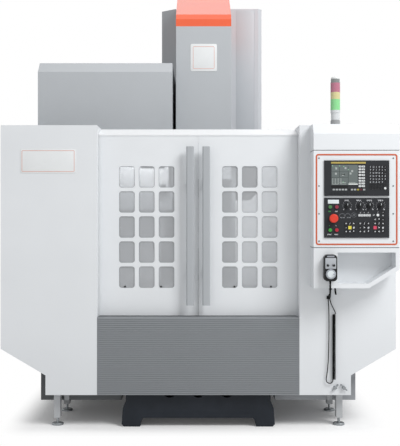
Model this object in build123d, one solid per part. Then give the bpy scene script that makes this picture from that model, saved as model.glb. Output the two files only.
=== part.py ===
from build123d import *
import os
from math import pi, radians, tan

# A C-frame vertical machining center in its sheet-metal cabin.
# Millimetres. Origin: middle of the foundation bolt pattern, on the floor.
# +X to the operator's right, +Y to the rear, +Z up.

# General clearances and sheet
seat_gap = 0.3
slide_gap = 0.05
sheet = 3.0

# Base casting
base_length = 2095.0
base_foot_half = 492.0
base_shoulder_half = 484.0
base_waist_half = 464.0
base_shoulder_z = 120.0
base_waist_z = 165.0
base_top = 480.0
foot_chamfer = 15.0
arch_foot_x = 372.0
arch_half = 351.0
arch_height = 54.0
arch_lip = 18.0
arch_lip_in = 6.0
core_hole_r = 46.0
core_hole_pitch = 183.0
core_hole_z = 231.0
core_hole_depth = 160.0
anchor_x = 430.0
anchor_y = 930.0
anchor_hole_r = 13.0
anchor_pocket = 90.0
anchor_pocket_in = 38.0
anchor_floor = 52.0
anchor_roof = 130.0
level_screw_y = (-760.0, 0.0, 760.0)
level_screw_r = 12.0
level_head_r = 19.0
level_head = 16.0
trough_half = 80.0
trough_floor = 430.0
trough_end_room = 10.0
tunnel_wall = 90.0
tunnel_roof = 14.0

# Column
column_front = 400.0
column_rear = 1050.0
column_foot_half = 450.0
column_half = 270.0
column_foot_top = 900.0
column_neck = 1150.0
column_top = 2850.0
column_cut = (80.0, 64.0)
column_cut_low = 1900.0
arch_x = 352.0
arch_top = 700.0
arch_depth = 320.0
magazine_arm_x = -620.0
magazine_arm_root_x = -299.0
magazine_arm_z = (1700.0, 1880.0)
magazine_arm_root = 20.0

# Linear guides and screws
rail_width = 35.0
rail_height = 40.0
rail_chamfer = 5.0
guide_block_width = 90.0
guide_block_length = 120.0
screw_r = 16.0
journal_r = 12.0
journal_length = 30.0
bearing_half = 42.0
bearing_over = 30.0
y_rail_x = 260.0
y_rail_ends = (-700.0, 390.0)
x_rail_offset = 150.0
z_rail_x = 105.0
z_rail_top = 2200.0
rail_end_room = 40.0
y_screw_z = 500.0
y_screw_ends = (-740.0, 480.0)
z_screw_ends = (1060.0, 2260.0)
z_bearing_gap = 7.0
guide_block_foot = 4.0
guide_block_over = 12.0
motor_size = 110.0
motor_length = 170.0
motor_flange = 14.0
motor_step = 6.0
motor_edge = 12.0
encoder_step = 14.0
encoder_length = 36.0
x_motor_size = 90.0
z_motor_size = 54.0

# Spindle, saddle and table, and their strokes
spindle_y = -180.0
nose_z = 1475.0
y_stroke = 250.0
z_stroke = 500.0
saddle_half_x = 700.0
saddle_half_y = 250.0
saddle_low = 532.0
saddle_top = 690.0
saddle_block_y = 190.0
saddle_trough = 30.0
saddle_chamfer = 60.0
y_nut = (38.0, 55.0)
nut_under = 2.0
table_half_x = 500.0
table_half_y = 225.0
table_low = 770.0
table_top = 860.0
table_block_x = 250.0
table_chamfer = 18.0
x_nut = (55.0, 34.0)
x_nut_under = 6.0
tee_slot_width = 18.0
tee_slot_foot = 30.0
tee_slot_depth = 32.0
tee_slot_neck = 18.0
tee_slot_pitch = 125.0

# Telescopic way covers
deck_top = 620.0
deck_half = 340.0
deck_length = 280.0
cover_length = 320.0
cover_overlap = 30.0
cover_skirt_z = 505.0
x_cover_length = 250.0
x_cover_z = 800.0
x_cover_in = 20.0
x_cover_skirt = 55.0
z_cover_skirt = 24.0
z_cover_length = 300.0
z_cover_half = 152.0

# Headstock
head_rear = 345.0
head_low = 1600.0
head_top = 2150.0
head_plate_half = 152.0
head_body_half = 130.0
head_plate = 45.0
head_step = 40.0
quill_drop = 130.0
head_block_in = 80.0
z_nut_half_x = 34.0
z_nut_over = 22.0
z_nut_half = 50.0
quill_r = 105.0
collar_r = 80.0
spindle_r = 50.0
spindle_flange_r = 64.0
spindle_flange = 14.0
taper_r = 22.2
taper_depth = 65.0
spindle_length = 360.0
taper_ratio = 7 / 24
drawbar_step = 4.0
drawbar_depth = 60.0
drive_key_y = 38.0
drive_key_half = (8.0, 12.0)
drive_key_out = 8.0

# Head cover and its orange cap
head_cover_x = (-160.0, 238.0)
head_cover_front = -380.0
head_cover_rear = 335.0
head_cover_low = 1615.0
head_cover_top = 2715.0
cap_band = 51.0
cap_bevel = 40.0
cap_ridge_y = 60.0
cap_rise = 315.0
cap_bevel_run = 24.0

# Column cover
column_cover_x = (-297.0, 514.0)
column_cover_slant = (117.0, 92.0)
column_cover_front = 380.0
column_cover_low = 1930.0
column_cover_top = 3025.0
column_cover_slot = (-172.0, 250.0)
column_cover_corner = 28.0
column_cover_lintel = 60.0
column_cover_folds = (190.0, 60.0)
fold_half_width = 3.0
fold_depth = 1.5

# Tool magazine
magazine_x = (-1121.0, -183.0)
magazine_front = -555.0
magazine_rear = 370.0
magazine_low = 1395.0
magazine_top = 2432.0
magazine_chamfer = 75.0
pot_circle_r = 330.0
pot_count = 16
pot_r = 31.75
finger_half = 42.0
finger_reach = 36.0
disc_r = 292.0
disc_z = 1432.0
disc_thickness = 16.0
magazine_stroke = 240.0
magazine_rail_z = 1700.0
magazine_mouth_top = 1480.0
magazine_bend = 1.2
beam_half = 45.0
beam_depth = 40.0
beam_end = 12.0
guide_strip_half = 12.0
guide_strip_depth = 20.0
carriage_half = 110.0
carriage_back = 16.0
carriage_front = 24.0
carriage_half_z = 34.0
magazine_arm_half = 90.0
magazine_arm_low = 1666.0
magazine_arm_thick = 24.0
hub_r = 70.0
hub_gap = 2.0
shaft_r = 25.0
shaft_top = 1590.0
shaft_room = 10.0
index_motor_r = 52.0
index_motor_length = 150.0
boss_r = 66.0
boss_under = 12.0
boss_height = 68.0
finger_root = 16.0
finger_chamfer = 12.0
finger_mouth = 0.72

# Cabin
front_y = -1100.0
cabin_half = 1255.0
cabin_top = 1927.0
cabin_bottom = 213.0
opening_half = 643.0
hopper_x = 970.0
hopper_low = 338.0
hopper_high = 506.0
front_return = 80.0
cabin_rear = 390.0
header_rear = -862.0
ledge_z = 706.0
slat_pitch = 12.0
slat_groove = 4.5
slat_depth = 3.0
apron_depth = 50.0
apron_lip = 40.0
first_slat = 8.0
last_slat_room = 10.0
groove_slant = 1.0
header_front = -1012.0
header_drop = 9.0
header_rear_drop = 30.0
cheek_end = 8.0
side_return = 31.0

# Doors
door_front = -1010.0
door_depth = 40.0
door_width = 690.0
door_low = 708.0
door_top = 1866.0
header_lip = 11.0
window_width = 101.0
window_height = 138.0
window_radius = 17.0
window_pitch_x = 128.0
window_pitch_z = 161.8
window_first_x = 204.5
window_first_z = 955.2
window_columns = 3
window_rows = 5
glazing_thickness = 6.0
glazing_margin = 24.0
track_y = -930.0
track_width = 14.0
track_low = 1878.0
carriage_width = 80.0
carriage_wall = 6.0
carriage_arm_z = (1854.0, 1865.0)
carriage_low = 1860.0
carriage_top = 1890.0
door_gap_half = 1.0
handle_radius = 10.0
carriage_x = (110.0, 580.0)
handle_x = (27.0, 76.0)
handle_z = (779.0, 1794.0)
handle_depth = 26.0
handle_standoff = 44.0
handle_post_z = (1002.0, 1565.0)
handle_post_r = 14.0

# Legs, feet and coolant tank
leg_x = 910.0
leg_wide = 40.0
leg_deep = 60.0
leg_low = 50.0
front_leg_y = -990.0
tank_leg_y = (-589.0, 180.0)
tank_leg_in = 116.0
beam_low = 640.0
beam_top = 700.0
rear_leg_top = 600.0
foot_r = 37.5
foot_thickness = 14.0
stem_r = 8.0
foot_chamfer_z = 4.0
beam_end_room = 6.0
tank_half = 1026.0
tank_inner = 500.0
tank_front = -950.0
tank_rear = 320.0
tank_low = 150.0
tank_high = 333.0

# Operator box
box_x = (711.0, 1240.0)
box_z = (905.0, 1921.0)
box_depth = 164.0
box_bevel_z = 1857.0
box_bevel = 45.0
seam_low = 1155.0
seam_high = 1755.0
seam_width = 4.0
seam_depth = 3.0
pocket_x = (858.0, 1217.0)
pocket_z = (932.0, 1125.0)
pocket_slope_x = 1047.0
pocket_slope_z = 1037.0
pocket_depth = 120.0
corner_cut_x = 1049.0
corner_cut_z = 1020.0
unit_x = (775.0, 1175.0)
display_z = (1474.0, 1692.0)
panel_z = (1216.0, 1462.0)
unit_face = 10.0
unit_flange = 10.0
display_body = 70.0
panel_body = 50.0
screen_x = (819.0, 983.0)
screen_z = (1541.0, 1666.0)
screen_recess = 2.0
unit_chamfer = 2.0
unit_body_in = 11.0
hook_half = 18.0
hook_z = (1044.0, 1094.0)

# Buttons and knobs on the machine panel
estop_x = 830.0
estop_z = 1335.0
estop_r = 27.0
estop_travel = 4.0
estop_stem_r = 11.0
estop_out = 34.0
estop_head = 18.0
estop_round = 8.0
bezel_wall = 3.5
bezel_out = 3.0
bore_depth = 12.0
button_out = 5.0
button_r = 11.0
button_travel = 3.0
button_x = (811.0, 851.0)
power_button_z = 1406.0
cycle_button_z = 1264.0
knob_z = 1414.0
knob_x = (915.0, 993.0, 1052.0, 1121.0)
knob_r = 13.0
knob_height = 16.0
dial_plate_r = 22.0
key_height = 2.0
key_gap = 2.4
knob_grip_half = 4.0
knob_grip = 6.0
knob_shaft_r = 3.0
knob_shaft_length = 10.0
dial_plate = 1.0

# Key fields on the display unit and panel: x and z range, then columns and rows
key_fields = [
    ((985.0, 1030.0), (1529.0, 1659.0)),
    ((1058.0, 1157.0), (1514.0, 1656.0)),
    ((819.0, 983.0), (1486.0, 1498.0)),
    ((985.0, 1062.0), (1346.0, 1362.0)),
    ((905.0, 957.0), (1252.0, 1304.0)),
    ((996.0, 1048.0), (1252.0, 1304.0)),
    ((1086.0, 1140.0), (1252.0, 1376.0)),
]
key_counts = [(2, 8), (6, 7), (10, 1), (5, 1), (3, 3), (3, 3), (3, 5)]

# Handheld pulse pendant and its cord
pendant_x = 808.0
pendant_z = (952.0, 1114.0)
pendant_width = 80.0
pendant_back = -1275.0
pendant_depth = 42.0
dial_z = 996.0
dial_r = 30.0
dial_height = 12.0
dial_shaft_r = 4.0
dial_shaft_length = 11.0
dial_chamfer = 2.0
crank_r = 4.5
crank_x = 17.0
crank_out = 14.0
pendant_radius = 22.0
small_knob_r = 8.0
small_knob_x = 18.0
small_knob_z = 97.0
small_knob_out = 9.0
cord_d = 6.0
coil_d = 22.0
boot_r = 7.0
boot_length = 24.0
clip_x = 826.0
clip_z = 833.0
clip_half = (11.0, 9.0)
clip_out = 14.0
boot_tip = 1.5
coil_x = 860.0
coil_lead_r = 8.0
coil_z = (312.0, 728.0)
coil_off = 5.0
gland_x = 834.0
gland_y = -1140.0
gland_r = 9.0
gland_z = 885.0
plug_x = 863.0
plug_r = 5.0
plug_length = 24.0
cord_run_share = 0.45

# Levers of the two drain cocks, on the right front panel
drain_pivot_x = (884.0, 907.0)
drain_pivot_z = 279.0
drain_reach = (34.0, 33.0)
drain_pivot_r = 5.0
drain_tip_r = 4.0
drain_thick = 5.0
drain_stem = 16.0
drain_cap = 3.0

# Tower light
lamp_x = 861.0
lamp_y = -1160.0
lamp_r = 30.0
lamp_base_height = 27.0
lamp_neck_height = 48.0
lamp_green_height = 74.0
lamp_amber_height = 42.0
lamp_red_height = 76.0
lamp_cap_height = 35.0
lamp_neck_step = 3.0
lamp_cap_step = 2.0
lamp_cap_round = 10.0

# Electrical cabinet
cabinet_half = 450.0
cabinet_z = (560.0, 2300.0)
cabinet_depth = 240.0
cabinet_door_thickness = 18.0
hinge_r = 7.0
hinge_wall = 2.0
hinge_leaf = 60.0
hinge_in = 220.0
hinge_root = 30.0
hinge_web_half = 3.0
cabinet_foot_half = 200.0
cabinet_foot_in = 40.0
cabinet_foot = 80.0
cabinet_upper_foot = 1730.0
plate_half = 300.0
plate_depth = 60.0
plate_z = (900.0, 1900.0)
louvre_count = 6
louvre_low = 160.0
louvre_pitch = 26.0
louvre_height = 10.0
louvre_half = 180.0
switch_x = -350.0
switch_z = 1500.0
switch_r = 28.0
switch_shaft_r = 8.0
switch_plate = 14.0
switch_lever_half = 8.0
switch_lever = 20.0
switch_shaft_in = 8.0

# Sizes that follow from those above
cap_top = head_cover_top + cap_rise
base_half_length = base_length / 2
door_back = door_front + door_depth
box_front = front_y - box_depth
unit_front = box_front - unit_face
z_screw_y = column_front - 28
x_screw_z = saddle_top + 24
tank_leg_x = tank_half - tank_leg_in
rear_leg_y = cabin_rear - sheet - leg_deep / 2
guide_block_top = rail_height + guide_block_over
z_block_low = head_low + head_block_in - guide_block_length / 2
z_rail_ends = (z_block_low - z_stroke - rail_end_room, z_rail_top)
carousel_x = -(pot_circle_r + magazine_stroke)
cord_y = pendant_back - pendant_depth / 2
coil_y = front_y - coil_d / 2 - coil_off
cabinet_front = column_rear + sheet + seat_gap + 1
cabinet_back = cabinet_front + cabinet_depth
hinge_x = cabinet_half + hinge_r + 1
hinge_y = cabinet_back + cabinet_door_thickness / 2


def block(x, y, z):
    """A rectangular block between (low, high) pairs."""
    size = (x[1] - x[0], y[1] - y[0], z[1] - z[0])
    return Pos((x[0] + x[1]) / 2, (y[0] + y[1]) / 2, (z[0] + z[1]) / 2) * Box(*size)


def around(middle, half):
    return (middle - half, middle + half)


def prism_y(points, y):
    """An outline of (x, z) points carried from y[0] to y[1]."""
    face = Plane.XZ.offset(-y[0]) * Polygon(*points, align=None)
    return extrude(face, amount=y[1] - y[0], dir=(0, 1, 0))


def prism_x(points, x):
    """An outline of (y, z) points carried from x[0] to x[1]."""
    face = Plane.YZ.offset(x[0]) * Polygon(*points, align=None)
    return extrude(face, amount=x[1] - x[0], dir=(1, 0, 0))


def prism_z(points, z):
    """An outline of (x, y) points carried from z[0] to z[1]."""
    face = Plane.XY.offset(z[0]) * Polygon(*points, align=None)
    return extrude(face, amount=z[1] - z[0], dir=(0, 0, 1))


def rod_x(r, x, y, z):
    return Pos((x[0] + x[1]) / 2, y, z) * Rot(0, 90, 0) * Cylinder(r, x[1] - x[0])


def rod_y(r, x, y, z):
    return Pos(x, (y[0] + y[1]) / 2, z) * Rot(90, 0, 0) * Cylinder(r, y[1] - y[0])


def rod_z(r, x, y, z):
    return Pos(x, y, (z[0] + z[1]) / 2) * Cylinder(r, z[1] - z[0])


def other_side(shape):
    return mirror(shape, Plane.YZ)


# Base casting
def base_casting():
    foot = [
        (arch_half, arch_height),
        (arch_foot_x - arch_lip_in, arch_height - arch_lip),
        (arch_foot_x, 0),
        (base_foot_half - foot_chamfer, 0),
        (base_foot_half, foot_chamfer),
        (base_shoulder_half, base_shoulder_z),
        (base_waist_half, base_waist_z),
        (base_waist_half, base_top),
    ]
    outline = foot + [(-x, z) for x, z in reversed(foot)]
    whole = (-base_half_length, base_half_length)
    body = prism_y(outline, whole)
    trough_ends = (y_screw_ends[0] - trough_end_room, column_front + arch_depth)
    body -= block((-trough_half, trough_half), trough_ends, (trough_floor, base_top + 1))
    for step in (-1, 0, 1):
        bore = (-base_half_length - 1, -base_half_length + core_hole_depth)
        body -= rod_y(core_hole_r, step * core_hole_pitch, bore, core_hole_z)
    front_deck = block(
        (-deck_half, deck_half),
        (-base_half_length, -base_half_length + deck_length),
        (base_top, deck_top),
    )
    rear_deck_y = (column_front, column_front + deck_length)
    rear_deck = block((-deck_half, deck_half), rear_deck_y, (base_top, deck_top))
    tunnel_half = deck_half - tunnel_wall
    rear_deck -= block((-tunnel_half, tunnel_half), rear_deck_y, (base_top, deck_top - tunnel_roof))
    body += [front_deck, rear_deck]
    for end in y_screw_ends:
        side = 1 if end > 0 else -1
        inner = end - side * journal_length
        bearing = (min(end, inner), max(end, inner))
        housing = block(around(0, bearing_half), bearing, (trough_floor, y_screw_z + bearing_over))
        body += housing - rod_y(journal_r + slide_gap, 0, bearing, y_screw_z)
    bolts = [(y, anchor_hole_r) for y in (-anchor_y, anchor_y)]
    bolts += [(y, level_screw_r + slide_gap) for y in level_screw_y]
    for side in (-1, 1):
        for y, r in bolts:
            body -= rod_z(r, side * anchor_x, y, (-1, anchor_floor + 1))
            opening = sorted((side * (anchor_x - anchor_pocket_in), side * (base_foot_half + 1)))
            body -= block(opening, around(y, anchor_pocket / 2), (anchor_floor, anchor_roof))
    return body


# Column with the arch that the rear way covers pass into
def column_casting():
    half = [
        (arch_x, base_top),
        (column_foot_half, base_top),
        (column_foot_half, column_foot_top),
        (column_half, column_neck),
        (column_half, column_top),
    ]
    outline = [(x, z) for x, z in half] + [(-x, z) for x, z in reversed(half)]
    outline += [(-arch_x, arch_top), (arch_x, arch_top)]
    front_part = prism_y(outline, (column_front, column_front + arch_depth))
    solid = half[1:] + [(-x, z) for x, z in reversed(half[1:])]
    body = front_part + prism_y(solid, (column_front + arch_depth, column_rear))
    corner = [
        (column_half - column_cut[0], column_front),
        (column_half - column_cut[0], column_front - 1),
        (column_half + 1, column_front - 1),
        (column_half + 1, column_front + column_cut[1]),
        (column_half, column_front + column_cut[1]),
    ]
    corner = prism_z(corner, (column_cut_low, column_top + 1))
    body = body - corner - other_side(corner)
    for end in z_screw_ends:
        side = 1 if end == z_screw_ends[1] else -1
        bearing = sorted((end, end - side * journal_length))
        housing = block(around(0, bearing_half), (head_rear + z_bearing_gap, column_front), bearing)
        body += housing - rod_z(journal_r + slide_gap, 0, z_screw_y, bearing)
    arm_y = (magazine_rear, cabin_rear - sheet - seat_gap)
    arm = block((magazine_arm_x, -column_half), arm_y, magazine_arm_z)
    root_x = (magazine_arm_root_x, -column_half + 1)
    root_y = (magazine_rear, column_front + magazine_arm_root)
    root = block(root_x, root_y, magazine_arm_z)
    return body + [arm, root]


def rail(length):
    """A guide rail lying along X from the origin, foot at z = 0."""
    half = rail_width / 2
    outline = [
        (-half, 0),
        (half, 0),
        (half, rail_height - rail_chamfer),
        (half - rail_chamfer, rail_height),
        (-half + rail_chamfer, rail_height),
        (-half, rail_height - rail_chamfer),
    ]
    return prism_x(outline, (0, length))


def guide_rails():
    y_rail = rail(y_rail_ends[1] - y_rail_ends[0])
    z_rail = rail(z_rail_ends[1] - z_rail_ends[0])
    rails = []
    for side in (-1, 1):
        place = Pos(side * y_rail_x, y_rail_ends[0], base_top)
        rails.append(place * Rot(0, 0, 90) * y_rail)
        upright = Plane((side * z_rail_x, column_front, z_rail_ends[0]), x_dir=(0, 0, 1), z_dir=(0, -1, 0))
        rails.append(upright.location * z_rail)
    return Compound(children=rails)


def guide_block(length=guide_block_length):
    """A runner over a rail along X, its foot clear of the face that the rail stands on."""
    half = guide_block_width / 2
    body = block((-length / 2, length / 2), (-half, half), (guide_block_foot, guide_block_top))
    wide = rail_width / 2 + slide_gap
    return body - block((-length, length), (-wide, wide), (0, rail_height + slide_gap))


def ball_screw(length):
    """A screw along X from the origin, a plain shaft with a journal at each end."""
    shaft = rod_x(screw_r, (journal_length + 1, length - journal_length - 1), 0, 0)
    return shaft + rod_x(journal_r, (0, length), 0, 0)


def servo_motor(size=motor_size):
    """A square motor along X from its flange at the origin, with an encoder cap."""
    half = size / 2
    flange = block((0, motor_flange), (-half, half), (-half, half))
    can = block((motor_flange, motor_length), around(0, half - motor_step), around(0, half - motor_step))
    can = chamfer(can.edges().filter_by(Axis.X), motor_edge)
    cap_x = (motor_length, motor_length + encoder_length)
    cap = block(cap_x, around(0, half - encoder_step), around(0, half - encoder_step))
    return flange + can + cap


# Saddle, carried on the Y rails, with its own X rails
def saddle():
    y = around(spindle_y, saddle_half_y)
    body = block((-saddle_half_x, saddle_half_x), y, (saddle_low, saddle_top))
    ends = body.faces().filter_by(Axis.X).edges().filter_by(Axis.Y).group_by(Axis.Z)[0]
    body = chamfer(ends, saddle_chamfer)
    trough = around(spindle_y, trough_half)
    inner = saddle_half_x - journal_length
    body -= block((-inner, inner), trough, (saddle_top - saddle_trough, saddle_top + 1))
    for side in (-1, 1):
        bearing = sorted((side * saddle_half_x, side * (saddle_half_x - journal_length)))
        housing_z = (saddle_top - saddle_trough, x_screw_z + bearing_over)
        housing = block(bearing, around(spindle_y, bearing_half), housing_z)
        body += housing - rod_x(journal_r + slide_gap, bearing, spindle_y, x_screw_z)
        for y_block in (-saddle_block_y, saddle_block_y):
            place = Pos(side * y_rail_x, spindle_y + y_block, base_top)
            body += place * Rot(0, 0, 90) * guide_block()
    nut_z = (y_screw_z - screw_r - nut_under, saddle_low)
    nut = block(around(0, y_nut[0]), around(spindle_y, y_nut[1]), nut_z)
    body += nut
    body -= rod_y(screw_r + slide_gap, 0, around(spindle_y, y_nut[1] + 1), y_screw_z)
    rails = []
    for side in (-1, 1):
        place = Pos(-saddle_half_x, spindle_y + side * x_rail_offset, saddle_top)
        rails.append(place * rail(2 * saddle_half_x))
    return Compound(children=[body, *rails])


# Table with three T-slots, carried on the X rails
def table():
    y = around(spindle_y, table_half_y)
    body = block((-table_half_x, table_half_x), y, (table_low, table_top))
    long_edges = body.edges().filter_by(Axis.X).group_by(Axis.Z)[0]
    body = chamfer(long_edges, table_chamfer)
    along = (-table_half_x - 1, table_half_x + 1)
    for step in (-1, 0, 1):
        middle = spindle_y + step * tee_slot_pitch
        neck = around(middle, tee_slot_width / 2)
        foot = around(middle, tee_slot_foot / 2)
        low = table_top - tee_slot_depth
        body -= block(along, neck, (low, table_top + 1))
        body -= block(along, foot, (low, table_top - tee_slot_neck))
    for side in (-1, 1):
        for x in (-table_block_x, table_block_x):
            place = Pos(x, spindle_y + side * x_rail_offset, saddle_top)
            runner = place * guide_block()
            pad = around(spindle_y + side * x_rail_offset, guide_block_width / 2)
            foot = (saddle_top + guide_block_top, table_low)
            body += [runner, block(around(x, guide_block_length / 2), pad, foot)]
    nut_z = (x_screw_z - screw_r - x_nut_under, table_low)
    nut = block(around(0, x_nut[0]), around(spindle_y, x_nut[1]), nut_z)
    return body + nut - rod_x(screw_r + slide_gap, around(0, x_nut[0] + 1), spindle_y, x_screw_z)


def trough_cover(length, step):
    """One inverted tray of the Y covers from the origin to -Y, the step-th outwards."""
    inside = deck_half + step * (sheet + seat_gap) + seat_gap
    skirt = cover_skirt_z
    top = deck_top + step * (sheet + seat_gap) + seat_gap
    outline = [
        (-inside - sheet, skirt),
        (-inside, skirt),
        (-inside, top),
        (inside, top),
        (inside, skirt),
        (inside + sheet, skirt),
        (inside + sheet, top + sheet),
        (-inside - sheet, top + sheet),
    ]
    return prism_y(outline, (-length, 0))


def y_cover(front_place, step):
    """A pair of trays, the front one from front_place, the rear one its mirror image."""
    tray = Pos(0, front_place, 0) * trough_cover(cover_length, step)
    rear = mirror(tray, Plane.XZ.offset(-spindle_y))
    return Compound(children=[tray, rear])


def y_cover_inner():
    return y_cover(spindle_y - saddle_half_y, 1)


def y_cover_middle():
    deck_end = -base_half_length + deck_length
    return y_cover(deck_end - cover_overlap - y_stroke / 2 + cover_length, 0)


def x_way_covers():
    skirt = saddle_top + x_cover_skirt
    inner = saddle_half_y - x_cover_in
    outline = [
        (-inner - sheet, skirt),
        (-inner, skirt),
        (-inner, x_cover_z),
        (inner, x_cover_z),
        (inner, skirt),
        (inner + sheet, skirt),
        (inner + sheet, x_cover_z + sheet),
        (-inner - sheet, x_cover_z + sheet),
    ]
    cover = Pos(0, spindle_y, 0) * prism_x(outline, (table_half_x, table_half_x + x_cover_length))
    return Compound(children=[cover, other_side(cover)])


# Headstock on the column rails
def headstock():
    plate = block(around(0, head_plate_half), (head_rear - head_plate, head_rear), (head_low, head_top))
    side = [
        (head_rear - head_plate, head_low + head_step),
        (spindle_y + quill_r, head_low),
        (spindle_y, head_low),
        (spindle_y, head_top - quill_drop),
        (spindle_y + quill_r, head_top - quill_drop),
        (head_rear - head_plate, head_top),
    ]
    body = plate + prism_x(side, (-head_body_half, head_body_half))
    body += rod_z(quill_r, 0, spindle_y, (head_low, head_top - quill_drop))
    body += rod_z(collar_r, 0, spindle_y, (nose_z + spindle_flange, head_low))
    bore = (nose_z, nose_z + spindle_length)
    body -= rod_z(spindle_r + slide_gap, 0, spindle_y, (bore[0], bore[1] + seat_gap))
    for x in (-z_rail_x, z_rail_x):
        for z in (head_low + head_block_in, head_top - head_block_in):
            upright = Plane((x, column_front, z), x_dir=(0, 0, 1), z_dir=(0, -1, 0))
            body += upright.location * guide_block()
            pad_y = (head_rear - 1, column_front - guide_block_top)
            pad_x = around(x, guide_block_width / 2)
            body += block(pad_x, pad_y, around(z, guide_block_length / 2))
    nut_z = (head_low + head_top) / 2
    nut_reach = (head_rear - 1, z_screw_y + z_nut_over)
    body += block(around(0, z_nut_half_x), nut_reach, around(nut_z, z_nut_half))
    return body - rod_z(screw_r + slide_gap, 0, z_screw_y, around(nut_z, z_nut_half + 1))


def spindle():
    shaft = rod_z(spindle_r, 0, spindle_y, (nose_z + 1, nose_z + spindle_length))
    shaft += rod_z(spindle_flange_r, 0, spindle_y, (nose_z, nose_z + spindle_flange - seat_gap))
    taper_end = taper_r - taper_depth * taper_ratio / 2
    middle = nose_z + taper_depth / 2
    taper = Pos(0, spindle_y, middle) * Cone(taper_r, taper_end, taper_depth)
    shaft -= taper
    drawbar_z = (nose_z, nose_z + taper_depth + drawbar_depth)
    shaft -= rod_z(taper_end - drawbar_step, 0, spindle_y, drawbar_z)
    for side in (-1, 1):
        key_y = around(spindle_y + side * drive_key_y, drive_key_half[1])
        shaft += block(around(0, drive_key_half[0]), key_y, (nose_z - drive_key_out, nose_z + 2))
    return shaft


def z_way_cover():
    plate_y = (head_rear - sheet, head_rear)
    z = (head_low - z_cover_length, head_low)
    plate = block(around(0, z_cover_half), plate_y, z)
    for side in (-1, 1):
        edge = side * z_cover_half
        skirt_x = sorted((edge, edge - side * sheet))
        plate += block(skirt_x, (head_rear - 1, head_rear + z_cover_skirt), z)
    return plate


def head_cover():
    x, y = head_cover_x, (head_cover_front, head_cover_rear)
    body = block(x, y, (head_cover_low, head_cover_top))
    inside = block(
        (x[0] + sheet, x[1] - sheet),
        (y[0] + sheet, y[1] + 1),
        (head_cover_low - 1, head_cover_top + 1),
    )
    body -= inside
    shelf = block((x[0] + 1, x[1] - 1), (y[0] + 1, y[1]), (head_top, head_top + sheet))
    corner = body.edges().filter_by(Axis.Z).sort_by(Axis.Y)[:2]
    return fillet(corner, sheet - 0.5) + shelf


def head_cap():
    front, rear = head_cover_front, head_cover_rear
    band_top = head_cover_top + cap_band
    outline = [
        (front, head_cover_top),
        (front, band_top),
        (front + cap_bevel_run, band_top + cap_bevel),
        (cap_ridge_y, cap_top),
        (rear, cap_top),
        (rear, head_cover_top),
    ]
    inner = [
        (front + sheet, head_cover_top - 1),
        (front + sheet, band_top),
        (front + cap_bevel_run + sheet, band_top + cap_bevel - sheet),
        (cap_ridge_y + 1, cap_top - sheet),
        (rear - sheet, cap_top - sheet),
        (rear - sheet, head_cover_top - 1),
    ]
    x = head_cover_x
    return prism_x(outline, x) - prism_x(inner, (x[0] + sheet, x[1] - sheet))


# Sheet cover over the top of the column, slotted for the head
def column_cover():
    x, z = column_cover_x, (column_cover_low, column_cover_top)
    front = column_cover_front
    rear = column_rear + sheet + seat_gap
    corner = column_cover_corner
    run, deep = column_cover_slant
    slant = (run**2 + deep**2) ** 0.5
    outline = [
        (x[0] + run, front),
        (x[1] - corner, front),
        (x[1], front + corner),
        (x[1], rear),
        (x[0], rear),
        (x[0], front + deep),
    ]
    inner = [
        (x[0] + run + sheet * (slant - run) / deep, front + sheet),
        (x[1] - corner - 1, front + sheet),
        (x[1] - sheet, front + corner + 1),
        (x[1] - sheet, rear - sheet),
        (x[0] + sheet, rear - sheet),
        (x[0] + sheet, front + deep + sheet * (slant - deep) / run),
    ]
    body = prism_z(outline, z) - prism_z(inner, (z[0] - 1, z[1] - sheet))
    slot_z = (z[0] - 1, z[1] - column_cover_lintel)
    body -= block(column_cover_slot, (front - 1, front + sheet + 1), slot_z)
    for fold in column_cover_folds:
        groove = around(x[1] - fold, fold_half_width)
        body -= block(groove, (front - 1, front + fold_depth), (z[0] - 1, z[1] + 1))
    return body


# Magazine: cover with its guide beam, carriage and tool carousel
def magazine_cover():
    x, z = magazine_x, (magazine_low, magazine_top)
    front, rear = magazine_front, magazine_rear
    cut = magazine_chamfer
    outline = [
        (front, z[0]),
        (front, z[1] - cut),
        (front + cut, z[1]),
        (rear, z[1]),
        (rear, z[0]),
    ]
    inner = [
        (front + sheet, z[0] - 1),
        (front + sheet, z[1] - cut - magazine_bend),
        (front + cut + magazine_bend, z[1] - sheet),
        (rear - sheet, z[1] - sheet),
        (rear - sheet, z[0] - 1),
    ]
    body = prism_x(outline, x) - prism_x(inner, (x[0] + sheet, x[1] - sheet))
    mouth = (front + sheet, rear - sheet), (z[0] - 1, magazine_mouth_top)
    body -= block((x[1] - sheet - 1, x[1] + 1), *mouth)
    beam_x = (x[0] + sheet - 1, x[1] - beam_end)
    beam_front = rear - sheet - beam_depth
    body += block(beam_x, (beam_front, rear - sheet + 1), around(magazine_rail_z, beam_half))
    strip_y = (beam_front - guide_strip_depth, beam_front + 1)
    body += block(beam_x, strip_y, around(magazine_rail_z, guide_strip_half))
    return body


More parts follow.
